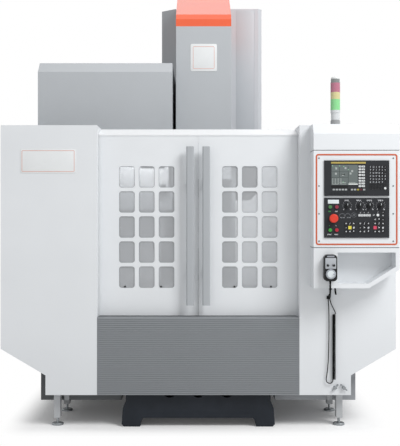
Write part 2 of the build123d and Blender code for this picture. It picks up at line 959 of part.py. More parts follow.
def magazine_slide():
    strip_front = magazine_rear - sheet - beam_depth - guide_strip_depth
    runner_y = (strip_front - carriage_front, strip_front + carriage_back)
    runner_x = around(carousel_x, carriage_half)
    body = block(runner_x, runner_y, around(magazine_rail_z, carriage_half_z))
    channel_y = (strip_front - slide_gap, strip_front + carriage_back + 1)
    channel_z = around(magazine_rail_z, guide_strip_half + slide_gap)
    body -= block(around(carousel_x, carriage_half + 1), channel_y, channel_z)
    arm_top = magazine_arm_low + magazine_arm_thick
    arm_y = (spindle_y - magazine_arm_half, runner_y[0] + 1)
    arm = block(around(carousel_x, magazine_arm_half), arm_y, (magazine_arm_low, arm_top))
    hub_z = (disc_z + boss_height + hub_gap, magazine_arm_low + 1)
    hub = rod_z(hub_r, carousel_x, spindle_y, hub_z)
    motor_z = (arm_top - 1, arm_top + index_motor_length)
    body += [arm, hub, rod_z(index_motor_r, carousel_x, spindle_y, motor_z)]
    bore_z = (hub_z[0] - 1, shaft_top + shaft_room)
    return body - rod_z(shaft_r + slide_gap, carousel_x, spindle_y, bore_z)


def tool_carousel():
    middle = Pos(carousel_x, spindle_y, 0)
    disc = Pos(0, 0, disc_z + disc_thickness / 2) * Cylinder(disc_r, disc_thickness)
    inner = disc_r - finger_root
    outer = pot_circle_r + finger_reach
    finger = block((inner, outer), (-finger_half, finger_half), (disc_z, disc_z + disc_thickness))
    tip = finger.edges().filter_by(Axis.Z).sort_by(Axis.X)[-2:]
    finger = chamfer(tip, finger_chamfer)
    finger -= rod_z(pot_r, pot_circle_r, 0, (disc_z - 1, disc_z + disc_thickness + 1))
    mouth = pot_r * finger_mouth
    mouth_x = (pot_circle_r, outer + 1)
    finger -= block(mouth_x, (-mouth, mouth), (disc_z - 1, disc_z + disc_thickness + 1))
    for step in range(pot_count):
        disc += Rot(0, 0, step * 360 / pot_count) * finger
    disc += rod_z(boss_r, 0, 0, (disc_z - boss_under, disc_z + boss_height))
    disc += rod_z(shaft_r, 0, 0, (disc_z + boss_height - 1, shaft_top))
    return middle * disc


# Cabin sheet metal
def front_panel_right():
    outline = [
        (opening_half, cabin_bottom),
        (hopper_x, cabin_bottom),
        (hopper_x, hopper_low),
        (cabin_half, hopper_high),
        (cabin_half, cabin_top),
        (opening_half, cabin_top),
    ]
    bend = (hopper_high - hopper_low) / (cabin_half - hopper_x)
    low = cabin_bottom + sheet
    slant = sheet * (1 + bend**2) ** 0.5
    inner = [
        (opening_half + sheet, low),
        (hopper_x - sheet, low),
        (hopper_x - sheet, hopper_low + slant - sheet * bend),
        (cabin_half - sheet, hopper_high + slant - sheet * bend),
        (cabin_half - sheet, cabin_top - sheet),
        (opening_half + sheet, cabin_top - sheet),
    ]
    back = front_y + front_return
    panel = prism_y(outline, (front_y, back)) - prism_y(inner, (front_y + sheet, back + 1))
    top = (opening_half, cabin_half - sheet)
    panel += block(top, (back - 1, header_rear - seat_gap), (cabin_top - sheet, cabin_top))
    cheek = [
        (back - 1, header_line(back - 1) + seat_gap),
        (header_rear - cheek_end, header_line(header_rear - cheek_end) + seat_gap),
        (header_rear - cheek_end, cabin_top),
        (back - 1, cabin_top),
    ]
    return panel + prism_x(cheek, (opening_half, opening_half + sheet))


def header_line(y):
    """Height of the header's sloping top at depth y."""
    start = header_front
    low = door_top + header_lip
    if y < start:
        return low
    return low + (cabin_top - low - sheet) * (y - start) / (header_rear - start)


def lower_apron():
    back = front_y + apron_depth
    count = int((ledge_z - cabin_bottom - last_slat_room) / slat_pitch)
    face = [(front_y, cabin_bottom)]
    for step in range(count):
        z = cabin_bottom + first_slat + step * slat_pitch
        face += [
            (front_y, z),
            (front_y + slat_depth, z + groove_slant),
            (front_y + slat_depth, z + slat_groove - groove_slant),
            (front_y, z + slat_groove),
        ]
    face += [(front_y, ledge_z), (back, ledge_z), (back, ledge_z - apron_lip)]
    face += [(back - sheet, ledge_z - apron_lip), (back - sheet, ledge_z - sheet)]
    skin = front_y + slat_depth + sheet
    face += [(skin, ledge_z - sheet), (skin, cabin_bottom + sheet)]
    face += [(back, cabin_bottom + sheet), (back, cabin_bottom)]
    edge = opening_half - seat_gap
    return prism_x(face, (-edge, edge))


def door_header():
    start = header_front
    low = door_top + header_lip
    rear_low = door_top - header_rear_drop
    rise = (cabin_top - low - sheet) / (header_rear - start)
    under = sheet * (1 + rise**2) ** 0.5
    outline = [
        (start, low - header_drop),
        (start, low),
        (header_rear, cabin_top - sheet),
        (header_rear, rear_low),
        (header_rear - sheet, rear_low),
        (header_rear - sheet, header_line(header_rear - sheet) - under),
        (track_y + track_width / 2, header_line(track_y + track_width / 2) - under),
        (track_y + track_width / 2, track_low),
        (track_y - track_width / 2, track_low),
        (track_y - track_width / 2, header_line(track_y - track_width / 2) - under),
        (start + sheet, header_line(start + sheet) - under),
        (start + sheet, low - header_drop),
    ]
    edge = cabin_half - sheet - seat_gap
    return prism_x(outline, (-edge, edge))


def side_panel_right():
    """One folded sheet: side wall, hopper slope, and the return across the back."""
    back = front_y + front_return
    low = tank_high + seat_gap
    outline = [
        (column_half + side_return, low),
        (hopper_x, low),
        (hopper_x, hopper_low),
        (cabin_half, hopper_high),
        (cabin_half, cabin_top),
        (column_half + side_return, cabin_top),
    ]
    bend = (hopper_high - hopper_low) / (cabin_half - hopper_x)
    rise = sheet * ((1 + bend**2) ** 0.5 - bend)
    inner = [
        (column_half, low - 1),
        (hopper_x - sheet, low - 1),
        (hopper_x - sheet, hopper_low + rise),
        (cabin_half - sheet, hopper_high + rise),
        (cabin_half - sheet, cabin_top + 1),
        (column_half, cabin_top + 1),
    ]
    body = prism_y(outline, (back, cabin_rear))
    body -= prism_y(inner, (back - 1, cabin_rear - sheet))
    foot = (column_half, base_waist_half + 1)
    clear = (cabin_rear - sheet - 1, cabin_rear + 1)
    body -= block(foot, clear, (low - 1, arch_top))
    return body


def side_panels():
    panel = side_panel_right()
    return Compound(children=[panel, other_side(panel)])


# Legs, feet and tank
def enclosure_legs():
    legs = []
    post_y = around(front_leg_y, leg_deep / 2)
    beam_y = (front_y + front_return, front_leg_y + leg_deep / 2)
    frame = block(around(0, cabin_half - beam_end_room), beam_y, (beam_low, beam_top))
    for side in (-1, 1):
        post = block(around(side * leg_x, leg_wide / 2), post_y, (leg_low, beam_low + 1))
        frame += post
    legs.append(frame)
    inner = hopper_x - sheet
    for side in (-1, 1):
        rear_x = sorted((side * inner, side * (inner - leg_wide)))
        legs.append(block(rear_x, around(rear_leg_y, leg_deep / 2), (leg_low, rear_leg_top)))
        for y in tank_leg_y:
            tank_y = around(y, leg_deep / 2)
            tank_x = around(side * tank_leg_x, leg_wide / 2)
            legs.append(block(tank_x, tank_y, (leg_low, tank_low)))
    return Compound(children=legs)


def levelling_foot(height):
    disc = rod_z(foot_r, 0, 0, (0, foot_thickness))
    disc = chamfer(disc.edges().sort_by(Axis.Z)[-1], foot_chamfer_z)
    return disc + rod_z(stem_r, 0, 0, (foot_thickness - 1, height))


def levelling_feet():
    leg_foot = levelling_foot(leg_low)
    places = []
    for side in (-1, 1):
        rear_x = side * (hopper_x - sheet - leg_wide / 2)
        places += [(side * leg_x, front_leg_y), (rear_x, rear_leg_y)]
        places += [(side * tank_leg_x, y) for y in tank_leg_y]
    feet = [Pos(x, y, 0) * leg_foot for x, y in places]
    for side in (-1, 1):
        for y in level_screw_y:
            shank = rod_z(level_screw_r, side * anchor_x, y, (seat_gap, anchor_floor + 1))
            hexagon = extrude(RegularPolygon(level_head_r, 6), amount=level_head)
            feet.append(shank + Pos(side * anchor_x, y, anchor_floor) * hexagon)
    return Compound(children=feet)


def coolant_tank():
    y, z = (tank_front, tank_rear), (tank_low, tank_high)
    body = block((tank_inner, tank_half), y, z)
    inside = block(
        (tank_inner + sheet, tank_half - sheet),
        (y[0] + sheet, y[1] - sheet),
        (z[0] + sheet, z[1] + 1),
    )
    body -= inside
    return Compound(children=[body, other_side(body)])


# Sliding doors
def window_centres():
    for column in range(window_columns):
        for row in range(window_rows):
            x = window_first_x + column * window_pitch_x
            yield x, window_first_z + row * window_pitch_z


def door_right():
    x, z = (door_gap_half, door_width), (door_low, door_top)
    body = block(x, (door_front, door_back), z)
    body -= block(
        (x[0] + sheet, x[1] - sheet),
        (door_front + sheet, door_back + 1),
        (z[0] + sheet, z[1] - sheet),
    )
    window = RectangleRounded(window_width, window_height, window_radius)
    holes = Sketch() + [Pos(a, b) * window for a, b in window_centres()]
    body -= extrude(Plane.XZ.offset(-door_front + 1) * holes, amount=-sheet - 2)
    wide = track_width / 2 + slide_gap
    for middle in carriage_x:
        span = around(middle, carriage_width / 2)
        arm_y = (door_back - sheet, track_y + wide + carriage_wall)
        body += block(span, arm_y, carriage_arm_z)
        runner_y = around(track_y, wide + carriage_wall)
        runner = block(span, runner_y, (carriage_low, carriage_top))
        runner -= block(
            (span[0] - 1, span[1] + 1),
            (track_y - wide, track_y + wide),
            (track_low - seat_gap, carriage_top + 1),
        )
        body += runner
    return body


def door_glazing_right():
    first = window_first_x - window_width / 2 - glazing_margin
    last = window_first_x + (window_columns - 1) * window_pitch_x + window_width / 2
    low = window_first_z - window_height / 2 - glazing_margin
    top = window_first_z + (window_rows - 1) * window_pitch_z + window_height / 2
    y = (door_front + sheet, door_front + sheet + glazing_thickness)
    return block((first, last + glazing_margin), y, (low, top + glazing_margin))


def door_handle_right():
    y = (door_front - handle_standoff - handle_depth, door_front - handle_standoff)
    bar = block(handle_x, y, handle_z)
    bar = fillet(bar.edges().filter_by(Axis.Z), handle_radius)
    middle = sum(handle_x) / 2
    for z in handle_post_z:
        bar += rod_y(handle_post_r, middle, (y[1] - 1, door_front), z)
    return bar


# Operator box
def operator_box():
    x, z = box_x, box_z
    side = [
        (front_y, z[0]),
        (box_front, z[0]),
        (box_front, box_bevel_z),
        (box_front + box_bevel, z[1]),
        (front_y, z[1]),
    ]
    body = prism_x(side, x)
    corner = [(corner_cut_x, z[0] - 1), (x[1] + 1, z[0] - 1), (x[1] + 1, corner_cut_z)]
    body -= prism_y(corner, (box_front - 1, front_y + 1))
    cavity = (x[0] + sheet, x[1] - sheet), (box_front + sheet, front_y + 1)
    body -= block(*cavity, (pocket_z[1] + sheet, seam_high))
    pocket = [
        (pocket_x[0], pocket_z[0]),
        (pocket_slope_x, pocket_z[0]),
        (pocket_x[1], pocket_slope_z),
        (pocket_x[1], pocket_z[1]),
        (pocket_x[0], pocket_z[1]),
    ]
    body -= prism_y(pocket, (box_front - 1, box_front + pocket_depth))
    for unit in (display_z, panel_z):
        window = (unit_x[0] + unit_flange, unit_x[1] - unit_flange)
        height = (unit[0] + unit_flange, unit[1] - unit_flange)
        body -= block(window, (box_front - 1, box_front + sheet + 1), height)
    for seam in (seam_low, seam_high):
        ring = block((x[0] - 1, x[1] + 1), (box_front - 1, front_y + 1), around(seam, seam_width / 2))
        core = (x[0] + seam_depth - 0.5, x[1] - seam_depth + 0.5)
        ring -= block(core, (box_front + seam_depth - 0.5, front_y + 2), around(seam, seam_width))
        body -= ring
    return body + block(around(pendant_x, hook_half), (pendant_back, box_front + 1), hook_z)


def front_unit(z, depth):
    """A black front plate with the closed body behind it."""
    plate = block(unit_x, (unit_front, box_front), z)
    plate = chamfer(plate.edges().group_by(Axis.Y)[0], unit_chamfer)
    inner = unit_body_in
    body_x = (unit_x[0] + inner, unit_x[1] - inner)
    return plate + block(body_x, (box_front - 1, box_front + depth), (z[0] + inner, z[1] - inner))


def display_unit():
    body = front_unit(display_z, display_body)
    return body - block(screen_x, (unit_front - 1, unit_front + screen_recess), screen_z)


def machine_panel():
    body = front_unit(panel_z, panel_body)
    bores = [(x, z, button_r) for x in button_x for z in (power_button_z, cycle_button_z)]
    bores.append((estop_x, estop_z, estop_stem_r))
    for x, z, r in bores:
        body += rod_y(r + bezel_wall, x, (unit_front - bezel_out, unit_front + 1), z)
        bore_y = (unit_front - bezel_out - 1, unit_front + bore_depth)
        body -= rod_y(r + slide_gap, x, bore_y, z)
    for x in knob_x:
        body += rod_y(dial_plate_r, x, (unit_front - dial_plate, unit_front + 1), knob_z)
        bore_y = (unit_front - dial_plate - 1, unit_front + knob_shaft_length + 1)
        body -= rod_y(knob_shaft_r + slide_gap, x, bore_y, knob_z)
    return body


def push_button(x, z):
    face = unit_front - bezel_out - button_out
    end = unit_front + bore_depth - button_travel - seat_gap
    return rod_y(button_r, x, (face, end), z)


def estop_button():
    face = unit_front - estop_out
    end = unit_front + bore_depth - estop_travel - seat_gap
    stem = rod_y(estop_stem_r, estop_x, (face + estop_round, end), estop_z)
    head = rod_y(estop_r, estop_x, (face, face + estop_head), estop_z)
    return stem + fillet(head.edges().sort_by(Axis.Y)[0], estop_round)


def knob(x):
    face = unit_front - dial_plate - seat_gap
    top = face - knob_height
    body = rod_y(knob_r, x, (top, face), knob_z)
    grip_y = (top - knob_grip, top + 1)
    grip = block(around(x, knob_grip_half), grip_y, around(knob_z, knob_r))
    shaft = rod_y(knob_shaft_r, x, (face - 1, unit_front + knob_shaft_length), knob_z)
    return body + grip + shaft


def panel_keys():
    keys = []
    for (x, z), (columns, rows) in zip(key_fields, key_counts):
        wide = (x[1] - x[0] + key_gap) / columns
        high = (z[1] - z[0] + key_gap) / rows
        for column in range(columns):
            for row in range(rows):
                left = x[0] + column * wide
                low = z[0] + row * high
                key = block(
                    (left, left + wide - key_gap),
                    (unit_front - key_height, unit_front),
                    (low, low + high - key_gap),
                )
                keys.append(key)
    return Compound(children=keys)


# Pendant, its two selector knobs in one piece with it
def pendant_body():
    x = around(pendant_x, pendant_width / 2)
    front = pendant_back - pendant_depth
    body = block(x, (front, pendant_back), pendant_z)
    body = fillet(body.edges().filter_by(Axis.Y), pendant_radius)
    small_y = (front - small_knob_out, front + 1)
    for side in (-1, 1):
        small_x = pendant_x + side * small_knob_x
        body += rod_y(small_knob_r, small_x, small_y, pendant_z[0] + small_knob_z)
    bore_y = (front - 1, front + dial_shaft_length + 1)
    return body - rod_y(dial_shaft_r + slide_gap, pendant_x, bore_y, dial_z)


def pendant_dial():
    front = pendant_back - pendant_depth
    face = front - seat_gap
    top = face - dial_height
    dial = rod_y(dial_r, pendant_x, (top, face), dial_z)
    dial = chamfer(dial.edges().sort_by(Axis.Y)[0], dial_chamfer)
    crank = rod_y(crank_r, pendant_x + crank_x, (top - crank_out, top + 1), dial_z)
    shaft_y = (face - 1, front + dial_shaft_length)
    return dial + crank + rod_y(dial_shaft_r, pendant_x, shaft_y, dial_z)


# Points of the cord from the pendant to the coil, and from the coil to the gland
cord_top_route = [
    (pendant_x, cord_y, pendant_z[0] - boot_length),
    (pendant_x, cord_y, 904),
    (809, cord_y + 8, 882),
    (812, cord_y + 30, 860),
    (816, cord_y + 62, 848),
    (821, cord_y + 98, 844),
    (826, cord_y + 134, 848),
    (830, cord_y + 160, 846),
    (832, coil_y - 3, 828),
    (838, coil_y, 804),
    (849, coil_y, 778),
    (860, coil_y, 756),
    (coil_x + coil_lead_r - 1, coil_y, 741),
    (coil_x + coil_lead_r, coil_y, coil_z[1]),
]
cord_bottom_route = [
    (coil_x - coil_lead_r, coil_y, coil_z[0]),
    (coil_x - coil_lead_r, coil_y, 303),
    (846, coil_y, 293),
    (832, coil_y + 1, 290),
    (818, coil_y + 2, 294),
    (810, coil_y + 1, 307),
    (811, coil_y, 326),
    (817, coil_y, 365),
    (822, coil_y + 1, 410),
    (825, coil_y + 2, 470),
    (827, coil_y + 1, 550),
    (828, coil_y + 2, 640),
    (828, coil_y + 1, 720),
    (826, coil_y, 780),
    (823, coil_y - 1, 812),
    (822, coil_y - 4, 836),
    (825, coil_y - 8, 850),
    (831, gland_y + 6, 864),
    (gland_x, gland_y, 874),
    (gland_x, gland_y, gland_z),
]


def cord_radii(route):
    """For each corner, a share of its shorter run over the tangent of half the turn."""
    radii = []
    for a, b, c in zip(route, route[1:], route[2:]):
        first, second = Vector(b) - Vector(a), Vector(c) - Vector(b)
        half_turn = radians(first.get_angle(second)) / 2
        shorter = min(first.length, second.length)
        radii.append(cord_run_share * shorter / tan(half_turn))
    return radii


def cord(name, route):
    radii = cord_radii(route)
    path = FilletPolyline(*route, radius=radii)
    start = Plane(origin=route[0], z_dir=Vector(route[1]) - Vector(route[0]))
    tube = sweep(start * Circle(cord_d / 2), path=path)
    ideal = pi * cord_d**2 / 4 * path.length
    print(name, "radii", [round(r) for r in radii], "length", round(path.length))
    print(name, "volume", round(tube.volume), "section times length", round(ideal))
    return tube


def cord_fittings():
    boot_low = pendant_z[0] - boot_length
    cone = Cone(cord_d / 2 + boot_tip, boot_r, boot_length)
    boot = Pos(pendant_x, cord_y, boot_low + boot_length / 2) * cone
    gland = rod_z(gland_r, gland_x, gland_y, (gland_z, box_z[0]))
    clip_x_range = around(clip_x, clip_half[0])
    clip = block(clip_x_range, (front_y - clip_out, front_y), around(clip_z, clip_half[1]))
    plug = rod_z(plug_r, plug_x, gland_y, (box_z[0] - plug_length, box_z[0]))
    return Compound(children=[boot, gland, clip, plug])


# Levers of the drain cocks
def drain_levers():
    levers = []
    for x, side in zip(drain_pivot_x, (-1, 1)):
        tip = (x + side * drain_reach[0], drain_pivot_z - drain_reach[1])
        arm = make_hull(
            [
                Pos(x, drain_pivot_z) * Circle(drain_pivot_r).edge(),
                Pos(*tip) * Circle(drain_tip_r).edge(),
            ]
        )
        lever_back = front_y - drain_stem + drain_thick
        lever = Plane.XZ.offset(-lever_back) * extrude(arm, amount=drain_thick)
        stem_y = (front_y - drain_stem - drain_cap, front_y)
        levers.append(lever + rod_y(drain_pivot_r - 1, x, stem_y, drain_pivot_z))
    return Compound(children=levers)


def tower_light():
    heights = [
        (lamp_base_height, lamp_r),
        (lamp_neck_height, lamp_r - lamp_neck_step),
        (lamp_green_height, lamp_r),
        (lamp_amber_height, lamp_r),
        (lamp_red_height, lamp_r),
        (lamp_cap_height, lamp_r - lamp_cap_step),
    ]
    z = box_z[1]
    pieces = []
    for height, r in heights:
        pieces.append(rod_z(r, lamp_x, lamp_y, (z, z + height)))
        z += height
    pieces[-1] = fillet(pieces[-1].edges().sort_by(Axis.Z)[-1], lamp_cap_round)
    return Compound(children=pieces)


# Electrical cabinet on the back of the column
def hinge_places():
    return (cabinet_z[0] + hinge_in, cabinet_z[1] - hinge_in)


def electrical_cabinet():
    x, y = around(0, cabinet_half), (cabinet_front, cabinet_back)
    body = block(x, y, cabinet_z)
    wall = 2 * sheet
    inside_z = (cabinet_z[0] + wall, cabinet_z[1] - wall)
    body -= block((x[0] + wall, x[1] - wall), (y[0] + wall, y[1] + 1), inside_z)
    for low in (cabinet_z[0] + cabinet_foot_in, cabinet_upper_foot):
        foot_z = (low, low + cabinet_foot)
        body += block(around(0, cabinet_foot_half), (column_rear, y[0] + 1), foot_z)
    body += block(around(0, plate_half), (y[0] + wall - 1, y[0] + plate_depth), plate_z)
    for z in hinge_places():
        ear_z = (z - hinge_leaf, z - seat_gap)
        pin = rod_z(hinge_r - hinge_wall, hinge_x, hinge_y, around(z, hinge_leaf))
        ear = rod_z(hinge_r, hinge_x, hinge_y, ear_z)
        root = block((x[1] - 1, hinge_x), (y[1] - hinge_root, y[1] - 1), ear_z)
        web = block((x[1] + hinge_wall, hinge_x), (y[1] - hinge_wall, hinge_y), ear_z)
        body += [ear, root, web, pin]
    return body


def cabinet_door():
    x = around(0, cabinet_half)
    y = (cabinet_back + seat_gap, cabinet_back + seat_gap + cabinet_door_thickness)
    door = block(x, y, cabinet_z)
    inside_z = (cabinet_z[0] + sheet, cabinet_z[1] - sheet)
    door -= block((x[0] + sheet, x[1] - sheet), (y[0] - 1, y[1] - sheet), inside_z)
    bore_r = hinge_r - hinge_wall + slide_gap
    for z in hinge_places():
        knuckle = rod_z(hinge_r, hinge_x, hinge_y, (z, z + hinge_leaf))
        leaf_y = around(hinge_y, hinge_web_half)
        knuckle += block((x[1] - 1, hinge_x), leaf_y, (z, z + hinge_leaf))
        door += knuckle - rod_z(bore_r, hinge_x, hinge_y, (z - 1, z + hinge_leaf + 1))
    through = (y[1] - sheet - 1, y[1] + 1)
    for step in range(louvre_count):
        low = cabinet_z[0] + louvre_low + step * louvre_pitch
        door -= block(around(0, louvre_half), through, (low, low + louvre_height))
    return door - rod_y(switch_shaft_r + slide_gap, switch_x, through, switch_z)


def main_switch():
    face = cabinet_back + seat_gap + cabinet_door_thickness
    plate_end = face + switch_plate
    body = rod_y(switch_r, switch_x, (face + seat_gap, plate_end), switch_z)
    lever_y = (plate_end - 1, plate_end + switch_lever)
    body += block(around(switch_x, switch_lever_half), lever_y, around(switch_z, switch_r))
    shaft_y = (face - sheet - switch_shaft_in, face + 1)
    return body + rod_y(switch_shaft_r, switch_x, shaft_y, switch_z)


def save(node, shape):
    export_step(shape, f"parts/{node}.step")


os.makedirs("parts", exist_ok=True)

save("base_casting", base_casting())
save("column_casting", column_casting())
save("guide_rails", guide_rails())
save("levelling_feet", levelling_feet())
save("enclosure_legs", enclosure_legs())
save("coolant_tank", coolant_tank())

y_screw = ball_screw(y_screw_ends[1] - y_screw_ends[0])
save("y_ballscrew", Pos(0, y_screw_ends[0], y_screw_z) * Rot(0, 0, 90) * y_screw)
z_screw = ball_screw(z_screw_ends[1] - z_screw_ends[0])
save("z_ballscrew", Pos(0, z_screw_y, z_screw_ends[0]) * Rot(0, -90, 0) * z_screw)
x_screw = ball_screw(2 * saddle_half_x)
save("x_ballscrew", Pos(-saddle_half_x, spindle_y, x_screw_z) * x_screw)

y_motor = Pos(0, y_screw_ends[1], y_screw_z) * Rot(0, 0, 90) * servo_motor()
z_motor = Pos(0, z_screw_y, z_screw_ends[1]) * Rot(0, -90, 0) * servo_motor(z_motor_size)
save("axis_motors", Compound(children=[y_motor, z_motor]))
x_motor = Pos(-saddle_half_x, spindle_y, x_screw_z) * Rot(0, 180, 0) * servo_motor(x_motor_size)
save("x_servo_motor", x_motor)

save("saddle", saddle())
save("table", table())
save("y_cover_inner", y_cover_inner())
save("y_cover_middle", y_cover_middle())
save("x_way_covers", x_way_covers())
save("headstock", headstock())
save("spindle", spindle())
save("z_way_cover", z_way_cover())
save("head_cover", head_cover())
save("head_cap", head_cap())
save("column_cover", column_cover())
save("magazine_cover", magazine_cover())
save("magazine_slide", magazine_slide())
save("tool_carousel", tool_carousel())

for name, piece in {
    "front_panel": front_panel_right(),
    "door": door_right(),
    "door_glazing": door_glazing_right(),
    "door_handle": door_handle_right(),
}.items():
    save(name + "_right", piece)
    save(name + "_left", other_side(piece))
save("lower_apron", lower_apron())
save("drain_levers", drain_levers())
save("door_header", door_header())
save("side_panels", side_panels())

save("operator_box", operator_box())
save("display_unit", display_unit())
save("machine_panel", machine_panel())
save("panel_keys", panel_keys())
save("estop_button", estop_button())
save("power_on_button", push_button(button_x[0], power_button_z))
save("power_off_button", push_button(button_x[1], power_button_z))
save("cycle_start_button", push_button(button_x[0], cycle_button_z))
save("feed_hold_button", push_button(button_x[1], cycle_button_z))
for name, x in zip(("mode", "feed", "rapid", "speed"), knob_x):
    save(name + "_knob", knob(x))
save("tower_light", tower_light())

save("pendant_body", pendant_body())
save("pendant_dial", pendant_dial())
save("cord_fittings", cord_fittings())
save("pendant_cord_top", cord("pendant_cord_top", cord_top_route))
save("pendant_cord_bottom", cord("pendant_cord_bottom", cord_bottom_route))
save("pendant_cord_coil", rod_z(coil_d / 2, coil_x, coil_y, coil_z))

save("electrical_cabinet", electrical_cabinet())
save("cabinet_door", cabinet_door())
save("main_switch", main_switch())
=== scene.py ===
# %% [markdown]
# # A vertical machining center
# The CAD model holds every solid of the machine. This notebook loads it as a
# fixed frame, gives each solid the finish of the real thing, and adds what is
# too thin or too fine for the solids: the frame strip round the operator box,
# the keys and the screen, dial marks, bare plates, gaskets, screws, a few
# small fittings, and the curly cord.

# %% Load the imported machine
import bpy
import bmesh
import math
from mathutils import Matrix, Vector


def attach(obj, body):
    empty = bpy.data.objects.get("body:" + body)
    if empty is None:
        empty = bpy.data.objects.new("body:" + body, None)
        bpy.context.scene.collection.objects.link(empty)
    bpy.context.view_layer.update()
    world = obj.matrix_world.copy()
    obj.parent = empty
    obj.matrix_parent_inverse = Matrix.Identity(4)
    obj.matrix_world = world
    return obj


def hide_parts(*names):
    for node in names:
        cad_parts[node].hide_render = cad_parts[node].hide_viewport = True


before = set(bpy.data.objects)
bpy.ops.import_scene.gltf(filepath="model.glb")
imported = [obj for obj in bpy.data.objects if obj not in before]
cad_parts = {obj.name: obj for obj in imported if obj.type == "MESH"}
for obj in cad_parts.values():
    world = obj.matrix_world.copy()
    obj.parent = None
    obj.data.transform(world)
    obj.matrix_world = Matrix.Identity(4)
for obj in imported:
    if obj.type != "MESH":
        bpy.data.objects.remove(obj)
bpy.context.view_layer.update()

# %% [markdown]
# The camera comes first, because everything is judged through it. The photo
# was taken level, from 5.4 m in front of the sheet-metal front, at chest
# height. A level camera keeps the upright edges upright, so the small offset
# of the machine in the picture is made with the lens shift, not by tilting.
# The picture is taller than wide, so its height is what spans the sensor.

# %% Camera
camera_height = 1.35
camera_distance = 6.5
picture_height = 446
focal_pixels = 850.4
shift_pixels = (1.8, -7.0)
sensor_mm = 36

camera_data = bpy.data.cameras.new("camera")
camera_data.sensor_width = sensor_mm
camera_data.lens = focal_pixels / picture_height * sensor_mm
camera_data.shift_x = shift_pixels[0] / picture_height
camera_data.shift_y = shift_pixels[1] / picture_height
camera = bpy.data.objects.new("camera", camera_data)
camera.location = (0, -camera_distance, camera_height)
camera.rotation_euler = (math.radians(90), 0, 0)
bpy.context.scene.collection.objects.link(camera)
bpy.context.scene.camera = camera
bpy.context.scene.view_settings.view_transform = "Standard"
print("lens", round(camera_data.lens, 1), "mm")

# %% [markdown]
# Every material below is a small net of nodes. Colours are written as sRGB
# hex values, as a paint chart gives them, and Blender wants linear ones, so
# one function turns them. A second one adds a node, with what goes into its
# sockets (a number, a colour or the output of another node) and its settings.

# %% Helpers for materials
def linear(hex_colour):
    """An sRGB hex colour such as "#e2e4e6" as linear RGBA."""
    channels = [int(hex_colour[i : i + 2], 16) / 255 for i in (1, 3, 5)]
    straight = [c / 12.92 if c <= 0.04045 else ((c + 0.055) / 1.055) ** 2.4 for c in channels]
    return (*straight, 1.0)


def add_node(tree, kind, inputs=None, **settings):
    node = tree.nodes.new("ShaderNode" + kind)
    for name, value in settings.items():
        setattr(node, name, value)
    for name, value in (inputs or {}).items():
        if isinstance(value, bpy.types.NodeSocket):
            tree.links.new(value, node.inputs[name])
        else:
            node.inputs[name].default_value = value
    return node


def new_material(name, **shader_values):
    """A material with a Principled shader, its node tree, and the place on the piece."""
    material = bpy.data.materials.new(name)
    material.use_nodes = True
    tree = material.node_tree
    shader = tree.nodes["Principled BSDF"]
    for socket, value in shader_values.items():
        shader.inputs[socket.replace("_", " ")].default_value = value
    place = add_node(tree, "TexCoord").outputs["Object"]
    return material, tree, shader, place


print("white in linear", [round(c, 3) for c in linear("#e2e4e6")])

# %% [markdown]
# The floor is a studio sweep: a plain pale sheet that catches a soft shadow.
# What lights the machine is the sheet as it is, at four fifths of white, under
# a soft even sky. To the camera, and in mirrors and glass, the shadow shows
# near the machine, lifted a little. A quarter of a metre outside a rectangle
# round the footprint it has faded to plain white, like the world behind it.

# %% Floor
floor_size, floor_gap = 40.0, 0.0005
floor_albedo = 0.8
seen_lift = 0.05
half_width_m, front_m, rear_m = 1.03, -1.08, 1.30
shadow_fade_m = 0.25
pure_white = (1, 1, 1, 1)
bpy.ops.mesh.primitive_plane_add(size=floor_size, location=(0, 0, -floor_gap))
floor = bpy.context.active_object
floor.name = "studio_floor"


def seen_rays(tree):
    """1 for rays from the camera, from mirrors and through glass, otherwise 0."""
    rays = add_node(tree, "LightPath").outputs
    seen = {0: rays["Is Camera Ray"], 1: rays["Is Glossy Ray"]}
    mirror = add_node(tree, "Math", seen, operation="MAXIMUM")
    seen = {0: mirror.outputs[0], 1: rays["Is Transmission Ray"]}
    return add_node(tree, "Math", seen, operation="MAXIMUM").outputs[0]


print("floor", floor_size, "m")

# %% Floor paint
floor_paint = bpy.data.materials.new("pale_floor")
floor_paint.use_nodes = True
tree = floor_paint.node_tree
tree.nodes.clear()
grey = (floor_albedo, floor_albedo, floor_albedo, 1)
sheet = add_node(tree, "BsdfDiffuse", {"Color": grey})
shaded = add_node(tree, "BsdfDiffuse", {"Color": pure_white})
lift = add_node(tree, "Emission", {"Strength": seen_lift})
lifted = add_node(tree, "AddShader", {0: shaded.outputs[0], 1: lift.outputs[0]})
white = add_node(tree, "Emission", {"Strength": 1.0})
here = add_node(tree, "TexCoord").outputs["Object"]
place = add_node(tree, "SeparateXYZ", {0: here})
aside = add_node(tree, "Math", {0: place.outputs["X"]}, operation="ABSOLUTE")
past_side = add_node(tree, "Math", {0: aside.outputs[0], 1: half_width_m}, operation="SUBTRACT")
past_front = add_node(tree, "Math", {0: front_m, 1: place.outputs["Y"]}, operation="SUBTRACT")
past_rear = add_node(tree, "Math", {0: place.outputs["Y"], 1: rear_m}, operation="SUBTRACT")
ends = {0: past_front.outputs[0], 1: past_rear.outputs[0]}
past_end = add_node(tree, "Math", ends, operation="MAXIMUM")
past = [
    add_node(tree, "Math", {0: value.outputs[0], 1: 0.0}, operation="MAXIMUM").outputs[0]
    for value in (past_side, past_end)
]
outside = add_node(tree, "CombineXYZ", {"X": past[0], "Y": past[1]})
distance = add_node(tree, "VectorMath", {0: outside.outputs[0]}, operation="LENGTH")
away = add_node(
    tree,
    "MapRange",
    {"Value": distance.outputs["Value"], "From Max": shadow_fade_m},
    interpolation_type="SMOOTHSTEP",
)
seen_floor = add_node(
    tree, "MixShader", {"Fac": away.outputs[0], 1: lifted.outputs[0], 2: white.outputs[0]}
)
